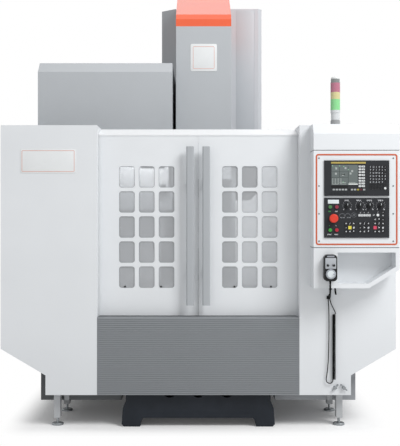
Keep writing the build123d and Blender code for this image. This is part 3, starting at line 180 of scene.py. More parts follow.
both = add_node(
    tree, "MixShader", {"Fac": seen_rays(tree), 1: sheet.outputs[0], 2: seen_floor.outputs[0]}
)
add_node(tree, "OutputMaterial", {"Surface": both.outputs[0]})
floor.data.materials.append(floor_paint)
print(floor_paint.name)

# %% World behind the floor
sky_strength = 0.55
world = bpy.data.worlds.new("studio")
bpy.context.scene.world = world
world.use_nodes = True
tree = world.node_tree
tree.nodes.clear()
sky = {"Color": pure_white, "Strength": sky_strength}
soft_sky = add_node(tree, "Background", sky)
white = add_node(tree, "Background", {"Color": pure_white, "Strength": 1.0})
both = add_node(
    tree, "MixShader", {"Fac": seen_rays(tree), 1: soft_sky.outputs[0], 2: white.outputs[0]}
)
add_node(tree, "OutputWorld", {"Surface": both.outputs[0]})
print("sky at", sky_strength)

# %% [markdown]
# Light comes from soft boxes, as in a product studio. The key box is high at
# the right of the camera and shades what looks left. A weak one fills from the
# left, and a third hangs above the open top of the cabin and lights the inside
# that shows through the windows. Two small work lights under the header, like
# those of a real cabin, lighten what is close behind the doors.

# %% Lamps
def soft_box(name, place, target, size, watts):
    lamp_data = bpy.data.lights.new(name, "AREA")
    lamp_data.shape = "SQUARE"
    lamp_data.size = size
    lamp_data.energy = watts
    lamp = bpy.data.objects.new(name, lamp_data)
    lamp.location = place
    lamp.rotation_euler = (Vector(target) - Vector(place)).to_track_quat("-Z", "Y").to_euler()
    bpy.context.scene.collection.objects.link(lamp)


soft_box("key_box", (4.0, -5.0, 6.0), (0, 0, 1.2), size=3.0, watts=350)
soft_box("fill_box", (-4.0, -7.0, 3.0), (0, 0, 1.0), size=4.0, watts=15)
soft_box("top_box", (0, 0.5, 6.5), (0, 0, 0), size=4.0, watts=30)
for name, x in (("work_light_left", -0.40), ("work_light_right", 0.40)):
    soft_box(name, (x, -0.78, 1.80), (x, -0.70, 0), size=0.3, watts=1.1)
print("three soft boxes and two work lights")

# %% [markdown]
# ## The cord of the hand pendant
# A pulse pendant hangs on a curly lead: PVC over fine copper strands, 6 mm
# thick, wound into a tight helix 22 mm across. It leaves the boot straight
# down, passes the clip on the panel, turns about the helix, and comes back up
# to a gland under the operator box. The whole lead is one curve. Its straight
# ends follow the same points as the solid cord, and the helix is simply more
# points of the same spline. A NURBS spline of order 3 passes near its points
# without a kink, as a soft lead does. A thicker sleeve that tapers down to
# the lead guards its first part against kinks.

# %% Route of the cord
cord_thick = 0.006
coil_mean_radius = 0.008
coil_pitch = 0.0065
coil_middle = (0.860, -1.116)
coil_top, coil_bottom = 0.728, 0.312
steps_per_turn = 14
pendant_middle_y = -1.296

cord_down = [
    (0.808, pendant_middle_y, 0.928),
    (0.808, pendant_middle_y, 0.904),
    (0.809, pendant_middle_y + 0.008, 0.882),
    (0.812, pendant_middle_y + 0.030, 0.860),
    (0.816, pendant_middle_y + 0.062, 0.848),
    (0.821, pendant_middle_y + 0.098, 0.844),
    (0.826, pendant_middle_y + 0.134, 0.848),
    (0.830, pendant_middle_y + 0.160, 0.846),
    (0.832, -1.119, 0.828),
    (0.838, -1.116, 0.804),
    (0.849, -1.116, 0.778),
    (0.860, -1.116, 0.756),
    (0.867, -1.116, 0.741),
]
cord_up = [
    (0.846, -1.116, 0.293),
    (0.832, -1.115, 0.290),
    (0.818, -1.114, 0.294),
    (0.810, -1.115, 0.307),
    (0.811, -1.116, 0.326),
    (0.817, -1.116, 0.365),
    (0.822, -1.115, 0.410),
    (0.825, -1.114, 0.470),
    (0.827, -1.115, 0.550),
    (0.828, -1.114, 0.640),
    (0.828, -1.115, 0.720),
    (0.826, -1.116, 0.780),
    (0.823, -1.117, 0.812),
    (0.822, -1.120, 0.836),
    (0.825, -1.124, 0.850),
    (0.831, -1.134, 0.864),
    (0.834, -1.140, 0.874),
    (0.834, -1.140, 0.885),
]
# The lead comes down the right side of the coil and leaves it down the left
# side. Two bends, each of one radian, turn it into the helix and out of it.
bend_steps = 6
bend_angle = 1
coil_low_z = coil_bottom + cord_thick / 2
coil_high_z = coil_top - cord_thick / 2
turns = int((coil_high_z - coil_low_z) / coil_pitch)
winding = 2 * math.pi * turns - math.pi - 2 * bend_angle
last_step = round(winding / (2 * math.pi) * steps_per_turn)


def on_coil(angle, z):
    x = coil_middle[0] + coil_mean_radius * math.cos(angle)
    return (x, coil_middle[1] + coil_mean_radius * math.sin(angle), z)


helix = []
for step in range(bend_steps):
    turned = math.pi / 2 * step / bend_steps
    z = coil_high_z + coil_mean_radius * (1 - math.sin(turned))
    helix.append(on_coil(bend_angle - bend_angle * math.cos(turned), z))
for step in range(last_step + 1):
    share = step / last_step
    z = coil_high_z + (coil_low_z - coil_high_z) * share
    helix.append(on_coil(bend_angle + winding * share, z))
for step in range(1, bend_steps + 1):
    turned = math.pi / 2 * step / bend_steps
    z = coil_low_z - coil_mean_radius * (1 - math.cos(turned))
    helix.append(on_coil(winding + bend_angle + bend_angle * math.sin(turned), z))
cord_points = cord_down + helix + cord_up
print(turns, "turns,", len(cord_points), "points")

# %% The cord itself
def round_line(name, points, radii, steps=12, facets=3):
    """A smooth round line with closed ends, as thick at each point as its radius says."""
    curve = bpy.data.curves.new(name, "CURVE")
    curve.dimensions = "3D"
    spline = curve.splines.new("NURBS")
    spline.points.add(len(points) - 1)
    for point, place, radius in zip(spline.points, points, radii):
        point.co = (*place, 1)
        point.radius = radius
    spline.order_u = 3
    spline.use_endpoint_u = True
    spline.resolution_u = steps
    curve.bevel_depth = 1.0
    curve.bevel_resolution = facets
    curve.use_fill_caps = True
    line = bpy.data.objects.new(name, curve)
    bpy.context.scene.collection.objects.link(line)
    return line


def line_length(line):
    """Length of the smooth line, read off a copy of it with no thickness."""
    bare = line.copy()
    bare.data = line.data.copy()
    bare.data.bevel_depth = 0
    places = [v.co.copy() for v in bpy.data.meshes.new_from_object(bare).vertices]
    bpy.data.objects.remove(bare)
    return sum((b - a).length for a, b in zip(places, places[1:]))


cord_radii = [cord_thick / 2] * len(cord_points)
pendant_lead = round_line("pendant_lead", cord_points, cord_radii, steps=2, facets=2)
print("lead", round(line_length(pendant_lead), 2), "m")

# %% The sleeve, and what the cord is
sleeve_top_r, sleeve_end_r = 0.0058, 0.0045
sleeve_points = cord_down[:8]
sleeve_last = len(sleeve_points) - 1
sleeve_radii = [
    sleeve_top_r + (sleeve_end_r - sleeve_top_r) * index / sleeve_last
    for index in range(len(sleeve_points))
]
lead_sleeve = round_line("lead_sleeve", sleeve_points, sleeve_radii)
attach(lead_sleeve, "machine_frame")

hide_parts("pendant_cord_top", "pendant_cord_coil", "pendant_cord_bottom")
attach(pendant_lead, "machine_frame")
print("sleeve over", len(sleeve_points), "points")

# %% [markdown]
# ## Finishes
# Most of the machine is folded steel sheet with a baked powder coat. Powder
# melts into a film with a fine orange-peel skin, about a millimetre from one
# dimple to the next, which breaks up the reflections and gives a satin look.
# At the size of this picture such dimples would vanish, so the film is drawn
# with a second, wider wave that shows as a slow change of tone on each sheet.
# A little dust gathers near the floor.

# %% Powder coat
peel_mm = 1.2
sheet_wave_mm = 420.0
dust_top_m = 0.75


def per_metre(size_mm):
    """Scale of a noise pattern whose grains are this wide."""
    return 1000 / size_mm


def powder_coat(name, colour, dust, roughness=0.42, dust_share=0.5):
    material, tree, shader, place = new_material(name, Roughness=roughness)
    wave = add_node(
        tree, "TexNoise", {"Vector": place, "Scale": per_metre(sheet_wave_mm), "Detail": 2.0}
    )
    tone_range = {"From Min": 0.3, "From Max": 0.7, "To Min": 0.965, "To Max": 1.0}
    tone = add_node(tree, "MapRange", {"Value": wave.outputs["Fac"], **tone_range})
    toned = add_node(
        tree, "VectorMath", {0: linear(colour)[:3], "Scale": tone.outputs[0]}, operation="SCALE"
    )
    height = add_node(tree, "SeparateXYZ", {0: place})
    dust_range = {"From Min": 0.0, "From Max": dust_top_m, "To Min": dust_share, "To Max": 0.0}
    low_down = add_node(tree, "MapRange", {"Value": height.outputs["Z"], **dust_range})
    coat = add_node(
        tree,
        "Mix",
        {"Factor": low_down.outputs[0], 6: toned.outputs[0], 7: linear(dust)},
        data_type="RGBA",
    )
    tree.links.new(coat.outputs[2], shader.inputs["Base Color"])
    peel = add_node(tree, "TexNoise", {"Vector": place, "Scale": per_metre(peel_mm), "Detail": 1.0})
    dimples = add_node(
        tree, "Bump", {"Height": peel.outputs["Fac"], "Strength": 0.12, "Distance": 0.0002}
    )
    tree.links.new(dimples.outputs[0], shader.inputs["Normal"])
    return material


white_coat = powder_coat("white_powder_coat", "#e2e5e8", "#d3d6d9", dust_share=0.6)
# A whiter copy of the white coat for the door header: painted light, for the light on its top
# strip.
header_coat_painted_light = powder_coat("header_white_coat_painted_light", "#eff1f3", "#d3d6d9")
silver_coat = powder_coat("silver_grey_powder_coat", "#b6babe", "#a9adb0")
cover_coat = powder_coat("column_grey_powder_coat", "#c0c4c9", "#a9adb0")
handle_coat = powder_coat("handle_grey_powder_coat", "#a9adb1", "#a0a4a7")
slate_coat = powder_coat("slate_powder_coat", "#868a8e", "#7b7e81", roughness=0.5)
leg_coat = powder_coat("leg_grey_powder_coat", "#b9bcbf", "#a9abad")
print("powder coats ready")

# %% [markdown]
# Two parts carry painted shade. The slanted face at the left of the column's
# cover is painted darker than its flat duct, as the shade of a face that looks
# away from the key light, and the left coolant tank is painted darker than the
# right one, as the shade it lies in. Each has one finish here, so a coat that
# is already mixed gets a darker second colour, the painted shade, for all that
# lies left of a given place.

# %% Coats with painted shade
duct_edge_x = -0.178


def paint_shade_left_of(material, colour, left_of):
    """Everything left of the given x gets a second colour, used here as painted shade."""
    tree = material.node_tree
    shader = tree.nodes["Principled BSDF"]
    first = shader.inputs["Base Color"].links[0].from_socket
    place = add_node(tree, "TexCoord").outputs["Object"]
    across = add_node(tree, "SeparateXYZ", {0: place})
    limit = {0: across.outputs["X"], 1: left_of}
    left = add_node(tree, "Math", limit, operation="LESS_THAN")
    both = add_node(
        tree, "Mix", {"Factor": left.outputs[0], 6: first, 7: linear(colour)}, data_type="RGBA"
    )
    tree.links.new(both.outputs[2], shader.inputs["Base Color"])


# The slanted face left of duct_edge_x gets a darker grey: painted shade.
duct_coat_with_painted_shade = powder_coat("duct_powder_coat_with_painted_shade", "#cacdd2", "#a9adb0")
paint_shade_left_of(duct_coat_with_painted_shade, "#a3a7ab", left_of=duct_edge_x)
# The tank left of the middle gets a much darker grey than the right one: painted shade.
tank_coat_with_painted_shade = powder_coat("tank_powder_coat_with_painted_shade", "#989ba0", "#94979a")
paint_shade_left_of(tank_coat_with_painted_shade, "#46494c", left_of=0.0)
print("two-tone coats ready")

# %% [markdown]
# The head cap is sprayed with a gloss enamel instead: smoother than powder,
# with a clear top layer, and a tone that drifts a little over the sheet.

# %% Orange enamel
enamel_drift_mm = 300.0
orange_enamel, tree, shader, place = new_material(
    "orange_enamel", Roughness=0.35, Coat_Weight=1.0, Coat_Roughness=0.12
)
drift = add_node(
    tree, "TexNoise", {"Vector": place, "Scale": per_metre(enamel_drift_mm), "Detail": 2.0}
)
hue = add_node(
    tree,
    "Mix",
    {"Factor": drift.outputs["Fac"], 6: linear("#e44c10"), 7: linear("#ea5a1d")},
    data_type="RGBA",
)
tree.links.new(hue.outputs[2], shader.inputs["Base Color"])
print(orange_enamel.name)

# %% [markdown]
# The base and the column are grey iron, sand-cast, filled and painted: the
# base nearly black, the column and what rides on it a dark grey. That grey is
# darker than their paint, as painted shade for the dim inside of the cabin. The
# skin of the mould stays faintly visible as a grain of 3 to 4 mm, and the paint
# wears a little in patches, where a lighter tone comes through.

# %% Painted castings
cast_grain_mm = 3.5
wear_patch_mm = 160.0


def painted_casting(name, colour, worn, roughness=0.55):
    material, tree, shader, place = new_material(name, Roughness=roughness, Specular_IOR_Level=0.25)
    grain = add_node(
        tree, "TexNoise", {"Vector": place, "Scale": per_metre(cast_grain_mm), "Detail": 3.0}
    )
    patches = add_node(
        tree, "TexNoise", {"Vector": place, "Scale": per_metre(wear_patch_mm), "Detail": 4.0}
    )
    wear_range = {"From Min": 0.45, "From Max": 0.8, "To Min": 0.0, "To Max": 0.7}
    wear = add_node(tree, "MapRange", {"Value": patches.outputs["Fac"], **wear_range})
    paint = add_node(
        tree,
        "Mix",
        {"Factor": wear.outputs[0], 6: linear(colour), 7: linear(worn)},
        data_type="RGBA",
    )
    tree.links.new(paint.outputs[2], shader.inputs["Base Color"])
    skin = add_node(
        tree, "Bump", {"Height": grain.outputs["Fac"], "Strength": 0.35, "Distance": 0.0008}
    )
    tree.links.new(skin.outputs[0], shader.inputs["Normal"])
    return material


base_paint = painted_casting("dark_casting_enamel", "#191e25", "#262b33")
# The column's grey is darkened to stand in for the shade inside the cabin: painted shade.
column_paint_with_painted_shade = painted_casting("grey_casting_enamel_darkened_as_shade", "#4a4e51", "#575b5e")
black_paint = painted_casting("black_motor_enamel", "#1b1c1e", "#2a2b2d", roughness=0.4)
print("castings ready")

# %% [markdown]
# Bare steel shows how it was worked. A ground face has fine straight scratches
# along the wheel's path, a turned one has rings round its axis, and rolled
# stainless sheet is brushed. All three are a noise stretched along one
# direction, so one function takes the stretch as three sizes in millimetres.

# %% Bare steel
def bare_steel(name, colour, grain_mm, roughness=0.32, scratch=0.12):
    material, tree, shader, place = new_material(name, Metallic=1.0)
    stretched = add_node(
        tree, "Mapping", {"Vector": place, "Scale": tuple(per_metre(size) for size in grain_mm)}
    )
    lines = add_node(
        tree, "TexNoise", {"Vector": stretched.outputs[0], "Scale": 1.0, "Detail": 2.0}
    )
    rough = add_node(
        tree,
        "MapRange",
        {
            "Value": lines.outputs["Fac"],
            "From Min": 0.3,
            "From Max": 0.7,
            "To Min": roughness - scratch,
            "To Max": roughness + scratch,
        },
    )
    tree.links.new(rough.outputs[0], shader.inputs["Roughness"])
    shade = add_node(
        tree, "MapRange", {"Value": lines.outputs["Fac"], "To Min": 0.88, "To Max": 1.0}
    )
    tint = add_node(
        tree, "VectorMath", {0: linear(colour)[:3], "Scale": shade.outputs[0]}, operation="SCALE"
    )
    tree.links.new(tint.outputs[0], shader.inputs["Base Color"])
    return material


ground_steel = bare_steel("ground_steel", "#b9bbbd", (60.0, 2.0, 2.0))
long_ground_steel = bare_steel("ground_guide_steel", "#b4b6b8", (2.0, 60.0, 2.0))
turned_steel = bare_steel("turned_steel", "#b0b2b4", (40.0, 40.0, 1.5))
way_cover_steel = bare_steel("brushed_stainless_sheet", "#c4c6c8", (90.0, 3.0, 3.0), roughness=0.4)
zinc_steel = bare_steel("zinc_coated_steel", "#9b9fa2", (25.0, 25.0, 25.0), roughness=0.5)
print("steels ready")

# %% [markdown]
# The control units are moulded ABS with a spark-eroded texture: dark grey,
# matt, with a grain just under a millimetre. Knobs and buttons are the same
# kind of plastic with a polish. The cord's soft PVC has a finer grain and
# hardly any gloss.

# %% Moulded plastics
def moulded_plastic(name, colour, grain_mm=0.8, roughness=0.5, depth=0.25, gloss=0.3):
    material, tree, shader, place = new_material(
        name, Roughness=roughness, Specular_IOR_Level=gloss
    )
    grain = add_node(
        tree, "TexNoise", {"Vector": place, "Scale": per_metre(grain_mm), "Detail": 1.0}
    )
    darker = tuple(0.92 * c for c in linear(colour)[:3]) + (1,)
    tone = add_node(
        tree,
        "Mix",
        {"Factor": grain.outputs["Fac"], 6: darker, 7: linear(colour)},
        data_type="RGBA",
    )
    tree.links.new(tone.outputs[2], shader.inputs["Base Color"])
    texture = add_node(
        tree, "Bump", {"Height": grain.outputs["Fac"], "Strength": depth, "Distance": 0.0001}
    )
    tree.links.new(texture.outputs[0], shader.inputs["Normal"])
    return material


polish = {"roughness": 0.3, "depth": 0.05}
unit_plastic = moulded_plastic("textured_dark_abs", "#232529", roughness=0.6)
black_plastic = moulded_plastic("black_abs", "#151618", roughness=0.4)
red_plastic = moulded_plastic("red_button_plastic", "#d8402f", **polish)
crimson_plastic = moulded_plastic("crimson_button_plastic", "#b3273a", **polish)
dull_red_plastic = moulded_plastic("dull_red_button_plastic", "#8e3346", **polish)
green_plastic = moulded_plastic("green_button_plastic", "#3f9a3e", **polish)
dull_green_plastic = moulded_plastic("dull_green_button_plastic", "#4c7d4b", **polish)
dial_plastic = moulded_plastic("silver_dial_plastic", "#a9aeb5", **polish)
cord_pvc = moulded_plastic("black_pvc", "#0a0b0d", grain_mm=0.5, roughness=0.5, gloss=0.1)
print("plastics ready")

# %% [markdown]
# The door windows are 6 mm polycarbonate. It is clear with a grey cast, so
# the inside of the cabin shows through. A surface that is two thirds
# transparent and slightly glossy gives that, and it keeps the light of the
# lamps coming in, which a refracting glass would stop.

# %% Polycarbonate
smear_mm = 250.0
glazing_sheet, tree, shader, place = new_material("polycarbonate_sheet", Roughness=0.06, Alpha=0.34)
smears = add_node(tree, "TexNoise", {"Vector": place, "Scale": per_metre(smear_mm), "Detail": 2.0})
cast = add_node(
    tree,
    "Mix",
    {"Factor": smears.outputs["Fac"], 6: linear("#d3d6da"), 7: linear("#dfe2e5")},
    data_type="RGBA",
)
tree.links.new(cast.outputs[2], shader.inputs["Base Color"])
print(glazing_sheet.name)

# %% [markdown]
# The tower light is a stack of translucent polycarbonate lenses on a grey
# base. All of it has one finish here, so its colours are laid out by height,
# each lens as tall as its own value says. Ribs inside a real lens spread the
# light, and show as thin upright lines.

# %% Tower light
lamp_foot = 1.921
rib_mm = 25.0
# each band from the foot up: its height in metres and its colour
lamp_bands = [
    (0.030, "#949698"),
    (0.062, "#cdd0d2"),
    (0.068, "#84d08b"),
    (0.043, "#cdc58f"),
    (0.059, "#b06a80"),
    (0.025, "#7f8282"),
    (0.015, "#dfe2e2"),
]
lamp_total = sum(height for height, colour in lamp_bands)
lens_plastic, tree, shader, place = new_material(
    "lens_polycarbonate", Roughness=0.25, Coat_Weight=0.5, Coat_Roughness=0.1
)
height = add_node(tree, "SeparateXYZ", {0: place})
share = add_node(
    tree,
    "MapRange",
    {"Value": height.outputs["Z"], "From Min": lamp_foot, "From Max": lamp_foot + lamp_total},
)
ramp = add_node(tree, "ValToRGB", {"Fac": share.outputs[0]})
ramp.color_ramp.interpolation = "CONSTANT"
done = 0.0
for index, (band_height, colour) in enumerate(lamp_bands):
    stop = ramp.color_ramp.elements[index] if index < 2 else ramp.color_ramp.elements.new(1.0)
    stop.position = done / lamp_total
    stop.color = linear(colour)
    done += band_height
ribs = add_node(
    tree,
    "TexWave",
    {"Vector": place, "Scale": per_metre(rib_mm)},
    wave_type="BANDS",
    bands_direction="DIAGONAL",
)
rib_bump = add_node(
    tree, "Bump", {"Height": ribs.outputs["Fac"], "Strength": 0.3, "Distance": 0.001}
)
tree.links.new(ramp.outputs["Color"], shader.inputs["Base Color"])
tree.links.new(rib_bump.outputs[0], shader.inputs["Normal"])
print("tower light", round(lamp_total, 3), "m tall")

# %% [markdown]
# Now each solid of the CAD model gets its finish. The list goes by finish, so
# that it reads like a painter's schedule.

# %% Finish schedule
finishes = {
    white_coat: [
        "front_panel_left", "front_panel_right", "door_left", "door_right",
        "side_panels", "operator_box",
    ],
    silver_coat: ["head_cover", "magazine_cover", "magazine_slide"],
    handle_coat: ["door_handle_left", "door_handle_right"],
    cover_coat: ["electrical_cabinet", "cabinet_door"],
    duct_coat_with_painted_shade: ["column_cover"],
    header_coat_painted_light: ["door_header"],
    slate_coat: ["lower_apron"],
    leg_coat: ["enclosure_legs"],
    orange_enamel: ["head_cap"],
    base_paint: ["base_casting"],
    column_paint_with_painted_shade: ["column_casting", "headstock", "saddle"],
    black_paint: ["axis_motors", "x_servo_motor"],
    ground_steel: ["table", "x_ballscrew"],
    long_ground_steel: ["guide_rails", "y_ballscrew"],
    turned_steel: ["spindle", "z_ballscrew"],
    way_cover_steel: ["y_cover_inner", "y_cover_middle", "x_way_covers", "z_way_cover"],
    tank_coat_with_painted_shade: ["coolant_tank"],
    zinc_steel: ["levelling_feet", "drain_levers"],
    unit_plastic: ["display_unit", "machine_panel"],
    black_plastic: [
        "pendant_body", "tool_carousel", "main_switch",
        "mode_knob", "feed_knob", "rapid_knob", "speed_knob",
    ],
    red_plastic: ["estop_button"],
    crimson_plastic: ["feed_hold_button"],
    dull_red_plastic: ["power_off_button"],
    green_plastic: ["cycle_start_button"],
    dull_green_plastic: ["power_on_button"],
    dial_plastic: ["pendant_dial"],
    cord_pvc: ["cord_fittings"],
    glazing_sheet: ["door_glazing_left", "door_glazing_right"],
    lens_plastic: ["tower_light"],
}
for finish, nodes in finishes.items():
    for node in nodes:
        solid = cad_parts[node]
        solid.data.materials.clear()
        solid.data.materials.append(finish)
for line in (pendant_lead, lead_sleeve):
    line.data.materials.append(cord_pvc)
finished = sum(len(nodes) for nodes in finishes.values())
print(finished, "of", len(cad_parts), "solids finished")

# %% [markdown]
# ## Pieces modelled here
# What follows is too thin for the solids: frame strips, plates, keys, dial
# marks, screws and seals. Each starts as a primitive of the right size in the
# right place and is shaped in edit mode. The first helpers open and close such
# a piece, the next select its faces or edges by where they are, and the last
# do what nearly every piece needs: round its corners, inset its face, open its
# middle, and copy it.

# %% Helpers that open and close a piece
smooth_degrees = 35


def open_piece(name, low, high):
    """A cube from corner low to corner high, open in edit mode with nothing selected."""
    bpy.ops.object.select_all(action="DESELECT")
    middle = [(a + b) / 2 for a, b in zip(low, high)]
    size = [b - a for a, b in zip(low, high)]
    bpy.ops.mesh.primitive_cube_add(size=1, location=middle, scale=size)
    return open_primitive(name)


def open_slab(name, x, z, face_y, thick, sunk=0.0003):
    """A slab on a face that looks at the operator, sunk a little into it."""
    return open_piece(name, (x[0], face_y - thick, z[0]), (x[1], face_y + sunk, z[1]))


def open_disc(name, middle, radius, depth, sides=32):
    """A cylinder that faces the operator, open in edit mode with nothing selected."""
    bpy.ops.object.select_all(action="DESELECT")
    bpy.ops.mesh.primitive_cylinder_add(
        vertices=sides, radius=radius, depth=depth, location=middle, rotation=(math.pi / 2, 0, 0)
    )
    return open_primitive(name)


def open_primitive(name):
    piece = bpy.context.active_object
    piece.name = name
    bpy.ops.object.transform_apply(location=True, rotation=True, scale=True)
    bpy.ops.object.mode_set(mode="EDIT")
    bpy.ops.mesh.select_all(action="DESELECT")
    return piece


def close_piece(piece, material, body="machine_frame"):
    bpy.ops.object.mode_set(mode="OBJECT")
    piece.data.materials.clear()
    piece.data.materials.append(material)
    bpy.ops.object.shade_smooth_by_angle(angle=math.radians(smooth_degrees))
    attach(piece, body)
    return piece


print("helpers that open and close a piece")

# %% Helpers that select
def pick_faces(piece, wanted):
    """Selects the faces for which wanted(middle, normal) is true."""
    bpy.ops.mesh.select_mode(type="FACE")
    bpy.ops.mesh.select_all(action="DESELECT")
    mesh = bmesh.from_edit_mesh(piece.data)
    for face in mesh.faces:
        face.select_set(bool(wanted(face.calc_center_median(), face.normal)))
    bmesh.update_edit_mesh(piece.data)


def pick_edges(piece, wanted):
    """Selects the edges for which wanted(middle, direction) is true."""
    bpy.ops.mesh.select_mode(type="EDGE")
    bpy.ops.mesh.select_all(action="DESELECT")
    mesh = bmesh.from_edit_mesh(piece.data)
    for edge in mesh.edges:
        a, b = (vertex.co for vertex in edge.verts)
        edge.select_set(bool(wanted((a + b) / 2, (b - a).normalized())))
    bmesh.update_edit_mesh(piece.data)


def faces_front(middle, normal):
    return normal.y < -0.9


def faces_rear(middle, normal):
    return normal.y > 0.9


def faces_front_or_back(middle, normal):
    return abs(normal.y) > 0.9


def faces_up(middle, normal):
    return normal.z > 0.9


def faces_up_or_down(middle, normal):
    return abs(normal.z) > 0.9


def runs_front_to_back(middle, direction):
    return abs(direction.y) > 0.9


def uprights_ahead_of(y):
    """Wants the upright edges that lie in front of this place."""
    return lambda middle, direction: abs(direction.z) > 0.9 and middle.y < y


print("helpers that select")

# %% Helpers that shape and copy
def round_edges(piece, width, segments, wanted=runs_front_to_back):
    pick_edges(piece, wanted)
    bpy.ops.mesh.bevel(offset=width, segments=segments, affect="EDGES")


def round_rim(piece, width, segments, wanted=faces_front):
    """Rounds the edges all round the wanted faces."""
    pick_faces(piece, wanted)
    bpy.ops.mesh.bevel(offset=width, segments=segments, affect="EDGES")


def inset(piece, *steps, wanted=faces_front):
    """Insets the wanted faces, once for each (thickness, depth)."""
    pick_faces(piece, wanted)
    for thickness, depth in steps:
        bpy.ops.mesh.inset(thickness=thickness, depth=depth)


def open_middle(piece, width, wanted=faces_front_or_back):
    """Insets two opposite faces and bridges them, which leaves a ring this wide."""
    pick_faces(piece, wanted)
    bpy.ops.mesh.inset(thickness=width, use_individual=True)
    bpy.ops.mesh.bridge_edge_loops()


def push(x, y, z):
    """Extrudes what is selected by this much."""
    bpy.ops.mesh.extrude_region_move(TRANSFORM_OT_translate={"value": (x, y, z)})


def repeat(piece, offsets):
    """Copies of a finished piece at these offsets, joined with it into one piece."""
    bpy.ops.object.select_all(action="DESELECT")
    for offset in offsets:
        copy = piece.copy()
        copy.data = piece.data.copy()
        copy.data.transform(Matrix.Translation(offset))
        bpy.context.scene.collection.objects.link(copy)
        copy.select_set(True)
    piece.select_set(True)
    bpy.context.view_layer.objects.active = piece
    bpy.ops.object.join()


def grid(columns, rows, step_x, step_z):
    """Offsets from the first piece of a field to all its others."""
    places = [(c, r) for c in range(columns) for r in range(rows) if c or r]
    return [(c * step_x, 0, r * step_z) for c, r in places]


print("helpers that shape and copy")

# %% [markdown]
# The control units are set off by a frame strip in burnt orange, stuck to the
# face of the operator box. It is a slab with rounded corners whose front and
# back are inset and bridged, which opens the middle and leaves a ring.

# %% Frame strip round the controls
box_face = -1.264
strip_x, strip_z = (0.724, 1.227), (1.171, 1.732)
strip_width, strip_thick, strip_corner = 0.009, 0.0015, 0.016
strip_enamel = moulded_plastic("burnt_orange_enamel", "#c85f3c", roughness=0.45, depth=0.03)

strip = open_slab("control_frame_strip", strip_x, strip_z, box_face, strip_thick)
round_edges(strip, strip_corner, 5)
open_middle(strip, strip_width)
close_piece(strip, strip_enamel)
print("strip", [round(v, 3) for v in strip.dimensions])

# %% [markdown]
# Eight button-head screws hold the sheet that carries the controls. One is
# modelled, with a rounded rim and a socket for the key, and copied.

# %% Screws of the operator box
screw_r, screw_height, screw_sunk = 0.005, 0.003, 0.0002
screw_x = (0.744, 1.201)
screw_z = (1.706, 1.535, 1.364, 1.195)
screw_steel = bare_steel("zinc_plated_screw_steel", "#85898c", (8.0, 8.0, 8.0), roughness=0.35)

screw_middle = (screw_x[0], box_face - screw_height / 2 + screw_sunk, screw_z[0])
box_screws = open_disc("operator_box_screws", screw_middle, screw_r, screw_height, sides=24)
round_rim(box_screws, screw_height * 0.55, 3)
inset(box_screws, (screw_r * 0.15, 0))
push(0, screw_height * 0.6, 0)
close_piece(box_screws, screw_steel)
places = [(x, z) for x in screw_x for z in screw_z]
repeat(box_screws, [(x - screw_x[0], 0, z - screw_z[0]) for x, z in places[1:]])
print(len(places), "screws")

# %% [markdown]
# The box is three sheets deep: a top, the control part and the lower step with
# the pocket. Where they meet runs a groove, and a black rubber seal lies at its
# bottom, all round the front and the sides.

# %% Seals of the operator box
seal_rubber = moulded_plastic("black_seal_rubber", "#2a2d2f", roughness=0.7, depth=0.1)
box_sides, box_rear = (0.711, 1.240), -1.1005
seal_half, seal_in, seal_width = 0.0021, 0.0008, 0.0020

for name, z in (("box_seal_low", 1.155), ("box_seal_high", 1.755)):
    seal = open_piece(
        name,
        (box_sides[0] + seal_in, box_face + seal_in, z - seal_half),
        (box_sides[1] - seal_in, box_rear, z + seal_half),
    )
    open_middle(seal, seal_width, faces_up_or_down)
    close_piece(seal, seal_rubber)
print("two seals")

# %% [markdown]
# Two plates are left bare here: the wide one on the left panel and the square
# one on the head cover. Each is a 2 mm sheet with rounded corners and a raised
# rim, printed with one thin line inside the edge.

# %% Plate finish
cloud_mm = 90.0
ink = {"roughness": 0.5, "depth": 0.02}
plate_lacquer, tree, shader, place = new_material(
    "printed_plate_lacquer", Roughness=0.3, Coat_Weight=0.3
)
clouds = add_node(tree, "TexNoise", {"Vector": place, "Scale": per_metre(cloud_mm), "Detail": 2.0})
lacquer = add_node(
    tree,
    "Mix",
    {"Factor": clouds.outputs["Fac"], 6: linear("#dcdfe0"), 7: linear("#e6e8e9")},
    data_type="RGBA",
)
tree.links.new(lacquer.outputs[2], shader.inputs["Base Color"])
line_ink = moulded_plastic("coral_line_ink", "#d98f7d", **ink)
print("plate lacquer and ink ready")

# %% The two plates
front_face, head_face = -1.1, -0.38
plate_thick, line_thick, line_width = 0.002, 0.0008, 0.0025


def bare_plate(name, x, z, face_y, body, corner, line_in):
    """A plate with rounded corners, and its printed line as a thin raised ring."""
    plate = open_slab(name, x, z, face_y, plate_thick)
    round_edges(plate, corner, 4)
    inset(plate, (0.001, 0.0004))
    close_piece(plate, plate_lacquer, body)
    line_x, line_z = (x[0] + line_in, x[1] - line_in), (z[0] + line_in, z[1] - line_in)
    plate_face = face_y - plate_thick
    ring = open_slab(name + "_line", line_x, line_z, plate_face, line_thick, sunk=0)
    round_edges(ring, corner * 0.8, 4)
    open_middle(ring, line_width)
    close_piece(ring, line_ink, body)


bare_plate(
    "left_panel_plate", (-1.129, -0.777), (1.622, 1.775), front_face, "machine_frame",
    corner=0.008, line_in=0.009,
)
bare_plate(
    "head_badge_plate", (-0.0555, 0.1345), (2.391, 2.588), head_face, "head",
    corner=0.010, line_in=0.018,
)
print("two bare plates")

# %% [markdown]
# The display shows a page of boxes, bars and a table. A generic page is enough:
# thin tiles on the glass, each with a rounded edge and a colour of its own. A
# lit screen gives off a little light, so its tiles have a weak emission.

# %% Screen colours
dot_mm = 3.0


